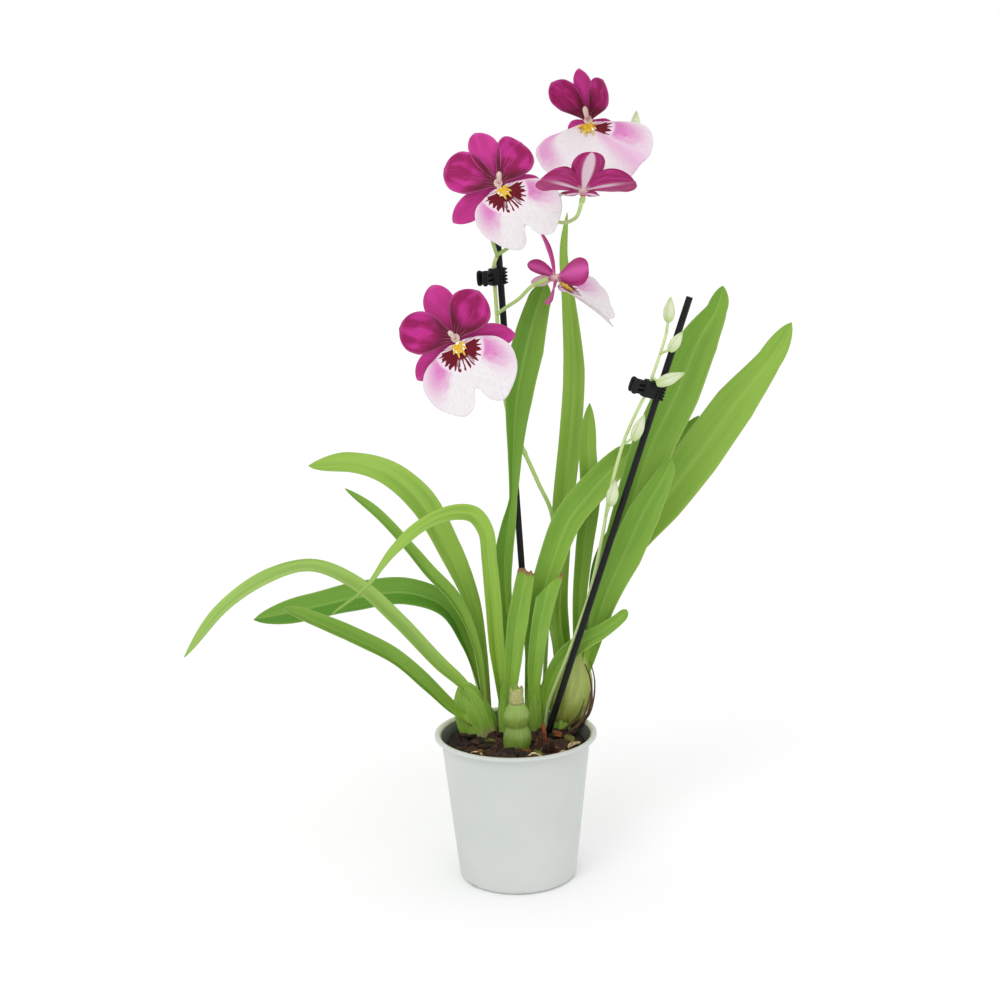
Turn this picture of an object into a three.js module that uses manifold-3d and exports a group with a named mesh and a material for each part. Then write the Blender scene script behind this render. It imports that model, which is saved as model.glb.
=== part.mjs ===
// Potted miltonia orchid in its nursery pot: bark medium, four leafy shoots, an old bare
// pseudobulb, a flower spike with five open blooms, a spike in bud, and two clipped stakes.
// Millimetres, +Z up. The origin is the centre of the pot's underside, and -Y is the front.
import * as THREE from 'three';
import { mergeVertices } from 'three/addons/utils/BufferGeometryUtils.js';
import Module from 'manifold-3d';

const wasm = await Module();
wasm.setup();

// Pot
const POT_HEIGHT = 110;
const POT_RIM_RADIUS = 60;
const POT_NECK_RADIUS = 54.8;
const POT_BASE_RADIUS = 43.5;
const POT_WALL = 1.1;
const POT_FLOOR = 2.4;
const POT_FOOT_ROUND = 3.4;
const RIM_DEPTH = 2.6;
const POT_SEGMENTS = 40;
const DRAIN_ANGLES = [-50, 74, 192];
const DRAIN_WIDTH = 6.5;
const DRAIN_DEPTH = 1.6;
const DRAIN_HOLE_RADIUS = 3.2;
const DRAIN_HOLE_DISTANCE = 26;

// Bark medium
const SEAT_GAP = 0.3;
const BARK_FRONT_LEVEL = 99;
const BARK_BACK_RISE = 6;
const BARK_CHIP_COUNT = 22;
const BARK_RINGS = 4;
const BARK_SECTORS = 20;
const BARK_WALL_GAP = 0.5;
const BARK_SHOULDER = 90;
const BARK_CHIP_REACH = 46;
const BARK_CHIP_TILT = 0.33;
const BARK_CHIP_SINK = 0.6;
const GOLDEN_ANGLE = 2.4;

// Pseudobulbs
const BULB_SEGMENTS = 12;
const BULB_TURN = 8;

// Stems and stakes
const STAKE_RADIUS = 2.4;
const STEM_RADIUS = 1.5;
const PEDICEL_RADIUS = 1.3;
const OVARY_RADIUS = 2;
const OVARY_GAP = 0.8;
const BUD_SEGMENTS = 7;
const BUD_STEM_RADIUS = 1.3;
const STEM_SIDES = 5;
const HOLE_CLEARANCE = 0.35;
const HOLE_HEIGHT = 90;
const HOLE_SIDES = 12;

// Leaves
const LEAF_THICKNESS = 1;
const LEAF_STEPS_PER_POINT = 1.5;
const FOLD_DROP = 0.25;
const TIP_ROUNDNESS = 0.75;

// Blooms
const TEPAL_THICKNESS = 0.9;
const LIP_THICKNESS = 0.9;
const HUB_RADIUS = 3.1;
const HUB_FRONT = 1.2;
const HUB_BACK = -5;
const COLUMN_RADIUS = 2.7;
const COLUMN_RISE = 6;
const COLUMN_REACH = 8;
const COLUMN_GAP = 1.3;

// Plain materials, one for each kind of surface
const material = (color, roughness, metalness = 0) =>
  new THREE.MeshStandardMaterial({ color, roughness, metalness });
const potPlastic = material(0xd5dad7, 0.55);
const barkBrown = material(0x3b2619, 0.95);
const leafGreen = material(0x5d9a2c, 0.4);
const bulbGreen = material(0x9fb653, 0.5);
const stemGreen = material(0xa9c76a, 0.5);
const budGreen = material(0xc3d39a, 0.55);
const tepalMagenta = material(0xb01b7a, 0.5);
const lipWhite = material(0xf4e6ef, 0.5);
const columnCream = material(0xf0dfd6, 0.5);
const stakeBlack = material(0x17181a, 0.5);

// A small repeatable random source
function seededRandom(seed) {
  let state = seed;
  return () => {
    state = (state * 1664525 + 1013904223) % 4294967296;
    return state / 4294967296;
  };
}

const radians = THREE.MathUtils.degToRad;
const vector = (p) => new THREE.Vector3(p[0], p[1], p[2]);

// Solids: a closed three.js geometry becomes a solid that can be joined or cut
function toSolid(geometry) {
  const bare = geometry.clone();
  bare.deleteAttribute('normal');
  bare.deleteAttribute('uv');
  const merged = mergeVertices(bare, 1e-4);
  const index = merged.index.array;
  const triangles = [];
  for (let i = 0; i < index.length; i += 3) {
    const [a, b, c] = [index[i], index[i + 1], index[i + 2]];
    if (a !== b && b !== c && c !== a) triangles.push(a, b, c);
  }
  return new wasm.Manifold(new wasm.Mesh({
    numProp: 3,
    vertProperties: new Float32Array(merged.attributes.position.array),
    triVerts: new Uint32Array(triangles),
  }));
}

function toGeometry(solid) {
  const mesh = solid.getMesh();
  const geometry = new THREE.BufferGeometry();
  geometry.setAttribute('position', new THREE.BufferAttribute(mesh.vertProperties, 3));
  geometry.setIndex(new THREE.BufferAttribute(mesh.triVerts, 1));
  return geometry;
}

const joined = (solids) => solids.reduce((whole, piece) => whole.add(piece));
const cutBy = (solid, tools) => tools.reduce((rest, tool) => rest.subtract(tool), solid);

// A thin closed sheet from two equal grids of points. Both faces are split alike.
function sheetSolid(front, back) {
  const rows = front.length;
  const columns = front[0].length;
  const size = rows * columns;
  const positions = [];
  for (const grid of [front, back]) {
    for (const row of grid) {
      for (const p of row) positions.push(p.x, p.y, p.z);
    }
  }
  const index = [];
  const at = (i, j) => i * columns + j;
  for (let i = 0; i < rows - 1; i++) {
    for (let j = 0; j < columns - 1; j++) {
      const [a, b, c, d] = [at(i, j), at(i, j + 1), at(i + 1, j + 1), at(i + 1, j)];
      index.push(a, b, c, a, c, d);
      index.push(size + a, size + c, size + b, size + a, size + d, size + c);
    }
  }
  const rim = [];
  for (let j = 0; j < columns - 1; j++) rim.push(at(0, j));
  for (let i = 0; i < rows - 1; i++) rim.push(at(i, columns - 1));
  for (let j = columns - 1; j > 0; j--) rim.push(at(rows - 1, j));
  for (let i = rows - 1; i > 0; i--) rim.push(at(i, 0));
  rim.forEach((a, k) => {
    const b = rim[(k + 1) % rim.length];
    index.push(a, size + a, size + b, a, size + b, b);
  });
  const geometry = new THREE.BufferGeometry();
  geometry.setAttribute('position', new THREE.Float32BufferAttribute(positions, 3));
  geometry.setIndex(index);
  return toSolid(geometry);
}

// A sheet thickened evenly about a grid of middle points
function thickSheet(middle, thickness) {
  const rows = middle.length;
  const columns = middle[0].length;
  const front = [];
  const back = [];
  for (let i = 0; i < rows; i++) {
    front.push([]);
    back.push([]);
    for (let j = 0; j < columns; j++) {
      const along = middle[Math.min(i + 1, rows - 1)][j].clone().sub(middle[Math.max(i - 1, 0)][j]);
      const across = middle[i][Math.min(j + 1, columns - 1)].clone().sub(middle[i][Math.max(j - 1, 0)]);
      const normal = across.cross(along).normalize().multiplyScalar(thickness / 2);
      front[i].push(middle[i][j].clone().add(normal));
      back[i].push(middle[i][j].clone().sub(normal));
    }
  }
  return sheetSolid(front, back);
}

// A round rod along a smooth path
function rod(points, radius, steps, sides = STEM_SIDES) {
  const path = new THREE.CatmullRomCurve3(points.map(vector), false, 'centripetal');
  const circle = new THREE.Shape();
  circle.absarc(0, 0, radius, 0, Math.PI * 2, false);
  const section = new THREE.Shape(circle.getSpacedPoints(sides).slice(0, sides));
  return toSolid(new THREE.ExtrudeGeometry(section, {
    steps, extrudePath: path, bevelEnabled: false, curveSegments: sides,
  }));
}

// A body turned about its own long axis, set between two points
function turnedBetween(start, end, profile, segments, flatness = 1, turn = 0) {
  const from = vector(start);
  const axis = vector(end).sub(from);
  const outline = profile.map(([along, radius]) => new THREE.Vector2(radius, along * axis.length()));
  const geometry = new THREE.LatheGeometry(outline, segments);
  geometry.rotateX(Math.PI / 2);
  geometry.scale(1, flatness, 1);
  geometry.rotateZ(radians(turn));
  const up = new THREE.Quaternion().setFromUnitVectors(new THREE.Vector3(0, 0, 1), axis.clone().normalize());
  geometry.applyQuaternion(up);
  geometry.translate(from.x, from.y, from.z);
  return toSolid(geometry);
}

// Pot: a thin tapered cup with an outward rim and three drain channels under its floor
function pot() {
  const rimBottom = POT_HEIGHT - RIM_DEPTH;
  const outline = [
    [0, 0], [POT_BASE_RADIUS - POT_FOOT_ROUND, 0], [POT_BASE_RADIUS - 1, 0.9], [POT_BASE_RADIUS, POT_FOOT_ROUND],
    [POT_NECK_RADIUS, rimBottom - 1], [POT_NECK_RADIUS + 1, rimBottom], [POT_RIM_RADIUS - 0.6, rimBottom],
    [POT_RIM_RADIUS, rimBottom + 0.9], [POT_RIM_RADIUS - 0.4, POT_HEIGHT - 0.4], [POT_RIM_RADIUS - 1.6, POT_HEIGHT],
    [POT_NECK_RADIUS + 2, POT_HEIGHT], [POT_NECK_RADIUS + 0.6, POT_HEIGHT - 1],
    [POT_NECK_RADIUS - POT_WALL, rimBottom - 2], [POT_BASE_RADIUS - POT_WALL, POT_FLOOR + 1.2],
    [POT_BASE_RADIUS - POT_FOOT_ROUND, POT_FLOOR], [0, POT_FLOOR],
  ];
  const cup = new THREE.LatheGeometry(outline.map(([r, z]) => new THREE.Vector2(r, z)), POT_SEGMENTS);
  cup.rotateX(Math.PI / 2);
  const cutters = [];
  for (const angle of DRAIN_ANGLES) {
    const turn = radians(angle - 90);
    const length = POT_BASE_RADIUS - DRAIN_HOLE_DISTANCE + DRAIN_WIDTH;
    const channel = new THREE.BoxGeometry(length, DRAIN_WIDTH, DRAIN_DEPTH * 2);
    channel.translate(DRAIN_HOLE_DISTANCE + length / 2, 0, 0);
    channel.rotateZ(turn);
    const hole = new THREE.CylinderGeometry(DRAIN_HOLE_RADIUS, DRAIN_HOLE_RADIUS, 4 * POT_FLOOR, 10);
    hole.rotateX(Math.PI / 2);
    hole.translate(DRAIN_HOLE_DISTANCE, 0, 0);
    hole.rotateZ(turn);
    cutters.push(toSolid(channel), toSolid(hole));
  }
  return cutBy(toSolid(cup), cutters);
}

// Bark medium: a mound that fills the pot, with rough chips standing out of its top
const barkLevel = (x, y) => {
  const back = THREE.MathUtils.smoothstep(y, -15, 45);
  return BARK_FRONT_LEVEL + BARK_BACK_RISE * back + 0.9 * Math.sin(x * 0.21) * Math.cos(y * 0.17);
};

function barkMound() {
  const bottom = POT_FLOOR + SEAT_GAP;
  const neckLevel = POT_HEIGHT - RIM_DEPTH - 1;
  const wallRadius = (z) => {
    const rise = Math.min((z - POT_FLOOR) / (neckLevel - POT_FLOOR), 1);
    return THREE.MathUtils.lerp(POT_BASE_RADIUS, POT_NECK_RADIUS, rise) - POT_WALL - BARK_WALL_GAP;
  };
  const topRadius = wallRadius(BARK_FRONT_LEVEL);
  const outline = [
    [0, bottom], [POT_BASE_RADIUS - POT_FOOT_ROUND - 1, bottom], [wallRadius(bottom + 2), bottom + 2],
    [wallRadius(BARK_SHOULDER), BARK_SHOULDER],
  ];
  for (let ring = 0; ring <= BARK_RINGS; ring++) {
    outline.push([topRadius * (1 - ring / BARK_RINGS), BARK_FRONT_LEVEL]);
  }
  const geometry = new THREE.LatheGeometry(outline.map(([r, z]) => new THREE.Vector2(r, z)), BARK_SECTORS);
  geometry.rotateX(Math.PI / 2);
  const p = geometry.attributes.position;
  for (let i = 0; i < p.count; i++) {
    if (p.getZ(i) > BARK_SHOULDER + 1) p.setZ(i, barkLevel(p.getX(i), p.getY(i)));
  }
  return toSolid(geometry);
}

function barkChips() {
  const random = seededRandom(11);
  const between = (low, high) => low + (high - low) * random();
  const chips = [];
  for (let k = 0; k < BARK_CHIP_COUNT; k++) {
    const reach = BARK_CHIP_REACH * Math.sqrt((k + 0.5) / BARK_CHIP_COUNT);
    const turn = k * GOLDEN_ANGLE + between(0, 0.3);
    const [x, y] = [reach * Math.cos(turn), reach * Math.sin(turn)];
    const chip = new THREE.BoxGeometry(between(7, 13), between(4, 8), between(4, 5.5));
    chip.rotateX(between(-BARK_CHIP_TILT, BARK_CHIP_TILT));
    chip.rotateY(between(-BARK_CHIP_TILT, BARK_CHIP_TILT));
    chip.rotateZ(between(0, Math.PI));
    chip.translate(x, y, barkLevel(x, y) - BARK_CHIP_SINK);
    chips.push(toSolid(chip));
  }
  return joined(chips);
}

// Leaves. Each route point is [x, y, z, width]; each face is where the upper side looks,
// spread evenly from the foot to the tip; the fold is the angle of the two halves of the
// blade, from the foot to the tip.
const LEAVES = {
  left_arch: {
    route: [[-25, 19, 112, 9], [-37, 14, 139, 14], [-56, 6, 161, 17], [-84, -2, 196, 16], [-113, -11, 227, 15],
      [-143, -20, 243, 14], [-173, -29, 238, 14], [-205, -38, 218, 12], [-232, -45, 185, 1]],
    faces: [[0.7, -0.7, 0.2], [0.3, -0.6, 0.7], [0, -0.5, 0.85], [-0.3, -0.6, 0.7]],
    fold: [60, 34, 18, 12],
  },
  left_broad: {
    route: [[-22, 26, 112, 9], [-28, 28, 144, 15], [-36, 33, 170, 19], [-50, 40, 195, 22], [-79, 46, 206, 24],
      [-117, 56, 201, 26], [-157, 68, 190, 23], [-202, 76, 179, 1]],
    faces: [[0.8, -0.5, 0.1], [0.6, -0.7, 0.4], [-0.1, -0.75, 0.6], [-0.2, -0.8, 0.5]],
    fold: [60, 34, 20, 12],
  },
  left_low: {
    route: [[-32, 13, 112, 10], [-49, 7, 128, 16], [-66, -5, 150, 18], [-88, -20, 175, 19], [-117, -38, 197, 18],
      [-140, -54, 213, 15], [-158, -68, 225, 1]],
    faces: [[0.5, -0.7, 0.4], [0.3, -0.6, 0.75], [0.2, -0.55, 0.8]],
    fold: [60, 40, 30, 22],
  },
  left_high: {
    route: [[-20, 27, 114, 9], [-25, 30, 164, 15], [-32, 36, 200, 20], [-46, 44, 235, 24], [-68, 54, 275, 25],
      [-94, 66, 295, 22], [-122, 79, 301, 18], [-156, 92, 297, 1]],
    faces: [[0.8, -0.6, 0], [0.7, -0.7, 0.2], [0.1, -0.75, 0.6], [-0.1, -0.75, 0.6]],
    fold: [60, 30, 18, 10],
  },
  left_thin: {
    route: [[-21, 20, 112, 8], [-30, 17, 176, 12], [-43, 16, 207, 15], [-62, 17, 229, 14], [-78, 20, 249, 11],
      [-98, 24, 271, 10], [-122, 28, 290, 1]],
    faces: [[0.7, -0.7, 0.2], [0.6, -0.7, 0.4], [0.4, -0.6, 0.7]],
    fold: [55, 34, 24],
  },
  centre_bent: {
    route: [[-8, 18, 112, 8], [-13, 13, 169, 17], [-15, 8, 208, 15], [-17, 2, 239, 13], [-19, -3, 262, 13],
      [-27, -8, 275, 14], [-41, -14, 278, 14], [-62, -24, 272, 13], [-83, -38, 256, 12],
      [-101, -50, 235, 10], [-125, -64, 219, 1]],
    faces: [[0.3, -0.95, 0], [0.3, -0.95, 0], [0.2, -0.9, 0.5], [0, -0.3, 0.95], [-0.6, 0.35, 0.7]],
    fold: [55, 30, 20, 20, 16],
  },
  centre_tall: {
    route: [[-4, 25, 112, 8], [-3, 26, 165, 15], [-6, 24, 204, 17], [-6, 21, 235, 17], [-2, 16, 265, 13],
      [1, 12, 284, 9], [3, 7, 318, 15], [6, 3, 355, 23], [13, 5, 391, 26], [22, 11, 423, 18], [28, 15, 438, 1]],
    faces: [[-0.4, -0.9, 0], [-0.5, -0.85, 0], [0.6, -0.8, 0], [0.3, -0.95, 0], [-0.2, -0.98, 0.1]],
    fold: [55, 30, 40, 24, 12],
  },
  centre_stub: {
    route: [[-5, 14, 112, 8], [-1, 8, 162, 16], [3, 6, 193, 17], [7, 5, 215, 15], [10, 4, 231, 13]],
    faces: [[0.2, -0.98, 0], [0.1, -1, 0]],
    fold: [50, 24, 14],
  },
  cut_slant: {
    route: [[13, 21, 112, 8], [15, 14, 152, 14], [19, 10, 184, 15], [24, 8, 208, 16], [30, 6, 230, 2]],
    faces: [[0.2, -0.98, 0], [0.1, -1, 0]],
    fold: [50, 26, 14],
  },
  right_arch: {
    route: [[10, 27, 112, 8], [13, 24, 157, 12], [17, 21, 193, 18], [29, 19, 233, 23], [42, 19, 265, 25],
      [61, 24, 287, 25], [82, 34, 306, 20], [99, 40, 315, 1]],
    faces: [[-0.3, -0.95, 0], [-0.4, -0.9, 0.1], [-0.1, -0.85, 0.5], [0.1, -0.8, 0.6]],
    fold: [50, 34, 24, 14],
  },
  right_low: {
    route: [[18, 23, 112, 7], [24, 21, 136, 12], [35, 18, 158, 15], [49, 16.5, 171, 15], [64, 15, 180, 14],
      [79, 14, 191, 12], [84, 14, 197, 7]],
    faces: [[-0.3, -0.95, 0], [0, -0.9, 0.4], [0, -0.9, 0.4]],
    fold: [50, 30, 20],
  },
  tall_back: {
    route: [[38, 28, 124, 9], [39, 44, 159, 14], [36, 47, 197, 16], [37, 50, 236, 18], [40, 53, 274, 19],
      [46, 56, 326, 19], [49, 59, 371, 18], [46, 62, 423, 11], [43, 65, 456, 7], [46, 68, 486, 1]],
    faces: [[-0.2, -0.98, 0], [-0.1, -1, 0], [0.1, -1, 0], [-0.7, -0.7, 0]],
    fold: [55, 34, 26, 20],
  },
  mid_back: {
    route: [[43, 27, 126, 8], [48, 37, 161, 10], [50, 37, 200, 13], [54, 38, 238, 15], [59, 40, 276, 17],
      [58, 43, 314, 14], [60, 46, 347, 1]],
    faces: [[0.2, -0.98, 0], [0.1, -1, 0], [-0.1, -1, 0]],
    fold: [50, 30, 22],
  },
  light_inner: {
    route: [[35, 24, 126, 8], [34, 30, 163, 11], [31, 29, 187, 11], [32, 29, 210, 10], [36, 29, 237, 1]],
    faces: [[-0.3, -0.95, 0], [-0.2, -1, 0]],
    fold: [40, 24],
  },
  right_tall: {
    route: [[45, 26, 126, 9], [59, 33, 169, 15], [71, 31, 217, 22], [86, 28, 263, 29], [103, 24, 315, 34],
      [121, 20, 355, 34], [137, 17, 394, 31], [149, 14, 419, 21], [153, 13, 433, 1]],
    faces: [[-0.2, -0.98, 0], [0.1, -0.98, 0.1], [0.1, -0.98, 0.2]],
    fold: [55, 30, 14, 8],
  },
  far_right: {
    route: [[47, 28, 126, 9], [61, 42, 169, 14], [71, 46, 206, 20], [89, 50, 240, 28], [115, 54, 270, 33],
      [141, 58, 303, 35], [170, 62, 342, 33], [196, 66, 376, 25], [213, 68, 402, 1]],
    faces: [[0, -1, 0.1], [0.1, -0.95, 0.3], [0, -0.95, 0.3]],
    fold: [55, 28, 14, 8],
  },
  right_front: {
    route: [[46, 24, 126, 8], [58, 28, 163, 14], [67, 23, 199, 21], [82, 15, 237, 28], [96, 10, 270, 26],
      [110, 8, 296, 15], [116, 7, 310, 1]],
    faces: [[0.2, -0.98, 0], [0.1, -0.98, 0.2]],
    fold: [50, 26, 14],
  },
  small_tip: {
    route: [[48, 29, 126, 8], [60, 50, 180, 10], [68, 58, 226, 12], [98, 66, 271, 14], [125, 72, 308, 13],
      [145, 77, 332, 1]],
    faces: [[0, -1, 0.1], [0, -0.95, 0.3]],
    fold: [45, 24, 14],
  },
};

// A value read along a list that is spread evenly from 0 to 1
function spread(list, t) {
  const place = t * (list.length - 1);
  const low = Math.min(Math.floor(place), list.length - 2);
  return THREE.MathUtils.lerp(list[low], list[low + 1], place - low);
}

function spreadVector(list, t) {
  return new THREE.Vector3(...[0, 1, 2].map((axis) => spread(list.map((v) => v[axis]), t)));
}

// Width of a blade along its length: its last stretch closes in a rounded tip
function bladeWidth(widths, t) {
  const last = widths.length - 1;
  const past = t * last - (last - 1);
  if (past <= 0 || widths[last] > 1) return spread(widths, t);
  return Math.max(widths[last - 1] * (1 - past ** 2) ** TIP_ROUNDNESS, LEAF_THICKNESS);
}

// A keeled blade: two halves that fold up from the midrib along the leaf
function leafBlade({ route, faces, fold }) {
  const path = new THREE.CatmullRomCurve3(route.map(vector), false, 'centripetal');
  const widths = route.map((p) => p[3]);
  const steps = Math.round(LEAF_STEPS_PER_POINT * (route.length - 1));
  const middle = [];
  for (let i = 0; i <= steps; i++) {
    const t = i / steps;
    const centre = path.getPoint(t);
    const tangent = path.getTangent(t);
    const face = spreadVector(faces, t);
    face.addScaledVector(tangent, -face.dot(tangent)).normalize();
    const side = new THREE.Vector3().crossVectors(tangent, face).normalize();
    const width = bladeWidth(widths, t);
    const angle = radians(spread(fold, t));
    centre.addScaledVector(face, -FOLD_DROP * width * Math.sin(angle));
    middle.push([-1, 0, 1].map((across) => centre.clone()
      .addScaledVector(side, (width / 2) * across * Math.cos(angle))
      .addScaledVector(face, (width / 2) * Math.abs(across) * Math.sin(angle))));
  }
  return thickSheet(middle, LEAF_THICKNESS);
}

// Profiles of turned bodies: [share of the length, share of the greatest radius]
const BULB_PROFILE = [[0, 0], [0.02, 0.35], [0.15, 0.72], [0.35, 1], [0.6, 0.9], [0.82, 0.55], [0.97, 0.3], [1, 0]];
const SHEATH_PROFILE = [[0, 0], [0.02, 0.6], [0.25, 0.92], [0.5, 1], [0.78, 0.8], [0.98, 0.35], [1, 0]];
const OLD_BULB_PROFILE = [
  [0, 0], [0.02, 0.61], [0.2, 0.89], [0.37, 1], [0.46, 0.85], [0.51, 0.74], [0.56, 0.83], [0.65, 0.91],
  [0.75, 0.73], [0.84, 0.47], [0.9, 0.41], [0.98, 0.47], [1, 0],
];

const BUD_PROFILE = [[0, 0], [0.03, 0.5], [0.22, 0.92], [0.45, 1], [0.72, 0.66], [0.94, 0.2], [1, 0]];
const OVARY_PROFILE = [[0, 0], [0.03, 0.6], [0.5, 1], [0.9, 0.85], [1, 0]];
const COLUMN_PROFILE = [[0, 0], [0.03, 0.55], [0.3, 0.88], [0.7, 1], [0.92, 0.74], [1, 0]];
const scaled = (profile, radius) => profile.map(([along, share]) => [along, share * radius]);

// A bulb or sheath between its foot and its top, or the wider socket that it stands in
function bulbBody({ foot, top, radius, flatness, profile }, grow = 0) {
  const way = vector(top).sub(vector(foot)).normalize().multiplyScalar(grow);
  const from = vector(foot).sub(way).toArray();
  const to = vector(top).add(way).toArray();
  const wide = radius + grow / flatness;
  return turnedBetween(from, to, scaled(profile, wide), BULB_SEGMENTS, flatness, BULB_TURN);
}

// Each shoot is a sheathed base with its leaves grown into it
const SHOOTS = {
  shoot_left: {
    bases: [{ foot: [-21, 21, 82], top: [-38, 17, 142], radius: 14.5, flatness: 0.5, profile: SHEATH_PROFILE }],
    leaves: ['left_arch', 'left_broad', 'left_low', 'left_high', 'left_thin'],
  },
  shoot_centre: {
    bases: [{ foot: [-5, 18, 82], top: [-6, 18, 150], radius: 7.4, flatness: 0.95, profile: SHEATH_PROFILE }],
    leaves: ['centre_bent', 'centre_tall', 'centre_stub'],
  },
  shoot_inner_right: {
    bases: [{ foot: [13, 24, 82], top: [15, 23, 146], radius: 7.4, flatness: 0.8, profile: SHEATH_PROFILE }],
    leaves: ['cut_slant', 'right_arch', 'right_low'],
  },
  shoot_right: {
    bases: [
      { foot: [33, 23, 82], top: [39, 26, 128], radius: 6.5, flatness: 0.9, profile: SHEATH_PROFILE },
      { foot: [37.5, 23.6, 104], top: [48, 29, 166], radius: 16.5, flatness: 0.5, profile: BULB_PROFILE },
    ],
    leaves: ['tall_back', 'mid_back', 'light_inner', 'right_tall', 'far_right', 'right_front', 'small_tip'],
  },
};
const OLD_BULB = { foot: [1, -5, 86], top: [1, -8, 145], radius: 10.6, flatness: 0.85, profile: OLD_BULB_PROFILE };

const shoot = ({ bases, leaves }) =>
  joined([...bases.map((base) => bulbBody(base)), ...leaves.map((name) => leafBlade(LEAVES[name]))]);

// Stakes
const STAKES = {
  stake_left: { foot: [16, 41, 64], top: [-7, 17, 490] },
  stake_right: { foot: [13, 16, 68], top: [127, -10, 427] },
};
const stake = ({ foot, top }) => rod([foot, top], STAKE_RADIUS, 1, 10);

// Blooms. yaw turns the face to the right, pitch lifts it and roll leans its top edge. The cups
// are in degrees, forward of the plane of the bloom, and the breadths are shares of the full width.
// petalLift turns the petals up to the dorsal, and petalSwing takes the left one forward and the
// right one back. lipRoll and lipTurn set the lip aside from the rest.
const BLOOMS = {
  bloom_low: {
    centre: [-36, -36, 404], yaw: -8, pitch: -4, roll: -24, size: 1, breadth: 1, dorsalBreadth: 0.9,
    lateralSize: 1, lateralBreadth: 1, petalLift: 0, petalSwing: 0,
    dorsalCup: -4, petalCup: 14, lateralCup: -2,
    lipSize: 1, lipPitch: 15, lipCup: 3, lipRoll: 0, lipTurn: 0,
  },
  bloom_middle: {
    centre: [-5, -26, 507], yaw: 18, pitch: 8, roll: -17, size: 0.97, breadth: 1, dorsalBreadth: 0.9,
    lateralSize: 1, lateralBreadth: 1, petalLift: 0, petalSwing: 0,
    dorsalCup: -12, petalCup: -16, lateralCup: -16,
    lipSize: 0.96, lipPitch: 20, lipCup: 8, lipRoll: 8, lipTurn: 0,
  },
  bloom_top: {
    centre: [59.5, 20, 550], yaw: -20, pitch: 11, roll: 0, size: 1.06, breadth: 0.62, dorsalBreadth: 0.5,
    lateralSize: 0.45, lateralBreadth: 0.6, petalLift: 10, petalSwing: 0,
    dorsalCup: 46, petalCup: 50, lateralCup: -20,
    lipSize: 1.12, lipPitch: 32, lipCup: 6, lipRoll: 16, lipTurn: 12,
  },
  bloom_back: {
    centre: [51.5, -41, 501], yaw: 184, pitch: 50, roll: -4, size: 0.98, breadth: 0.9, dorsalBreadth: 0.9,
    lateralSize: 0.3, lateralBreadth: 0.35, petalLift: -4, petalSwing: 0,
    dorsalCup: 0, petalCup: -14, lateralCup: 6,
    lipSize: 0.42, lipPitch: 40, lipCup: 0, lipRoll: 0, lipTurn: 0,
  },
  bloom_side: {
    centre: [34, -14, 442], yaw: 113, pitch: 0, roll: -12, size: 0.98, breadth: 0.64, dorsalBreadth: 0.4,
    lateralSize: 0.8, lateralBreadth: 0.7, petalLift: -12, petalSwing: 28,
    dorsalCup: -24, petalCup: -18, lateralCup: -34,
    lipSize: 1, lipPitch: 60, lipCup: 12, lipRoll: 0, lipTurn: -28,
  },
};

const TEPALS = {
  dorsal: { angle: 0, length: 39, width: 25, widest: 0.6, offset: -1.1, cup: 'dorsalCup', narrow: 'dorsalBreadth' },
  petalLeft: { angle: -54, length: 39, width: 30, widest: 0.62, offset: 0.3, cup: 'petalCup', lift: 'petalLift' },
  petalRight: { angle: 54, length: 39, width: 30, widest: 0.62, offset: 0.3, cup: 'petalCup', lift: 'petalLift' },
  lateralLeft: {
    angle: -112, length: 41, width: 18, widest: 0.58, offset: -1.6,
    cup: 'lateralCup', scale: 'lateralSize', narrow: 'lateralBreadth',
  },
  lateralRight: {
    angle: 112, length: 41, width: 18, widest: 0.58, offset: -1.6,
    cup: 'lateralCup', scale: 'lateralSize', narrow: 'lateralBreadth',
  },
};
const TEPAL_START = 1.5;
const TEPAL_ALONG = 6;
const TEPAL_HOLLOW = 0.22;
const CLAW_SHARE = 0.24;
const TEPAL_TIP_SHARE = 0.22;

// Half of the lip's outline from the shoulder to the notch: [across, down], in mm
const LIP_HALF = [[8, -1], [17, 2], [28, 8], [34, 19], [32, 32], [24, 42], [14, 48], [6, 44], [0, 33]];
const LIP_ROWS = 3;
const LIP_START = 0.14;
const LIP_FORWARD = 2.6;
const LIP_DROP = 3.6;
const LIP_HALF_WIDTH = 34;
const LIP_CURL = 3;
const CREST_SHARE = 0.3;
const CREST_RADIUS = 1.5;
const CREST_PROFILE = [[0, 0], [0.1, 0.8], [0.6, 1], [1, 0]];

// Turns a bloom's own frame (across, up, forward) into the plant's frame
function bloomMatrix({ centre, yaw, pitch, roll, size }) {
  const [y, p, r] = [radians(yaw), radians(pitch), radians(roll)];
  const level = new THREE.Vector3(Math.cos(y), Math.sin(y), 0);
  const face = new THREE.Vector3(Math.sin(y) * Math.cos(p), -Math.cos(y) * Math.cos(p), Math.sin(p));
  const upright = new THREE.Vector3().crossVectors(face, level);
  const across = level.clone().multiplyScalar(Math.cos(r)).addScaledVector(upright, -Math.sin(r));
  const up = level.clone().multiplyScalar(Math.sin(r)).addScaledVector(upright, Math.cos(r));
  const matrix = new THREE.Matrix4().makeBasis(across, up, face);
  matrix.scale(new THREE.Vector3(size, size, size));
  matrix.setPosition(vector(centre));
  return matrix;
}

// Width of a tepal along its length: narrow claw, broad middle, round tip
function tepalShare(t, widest) {
  if (t < widest) return CLAW_SHARE + (1 - CLAW_SHARE) * Math.sin((Math.PI / 2) * (t / widest)) ** 1.4;
  return Math.max(Math.sqrt(1 - ((t - widest) / (1 - widest)) ** 2), TEPAL_TIP_SHARE);
}

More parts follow.
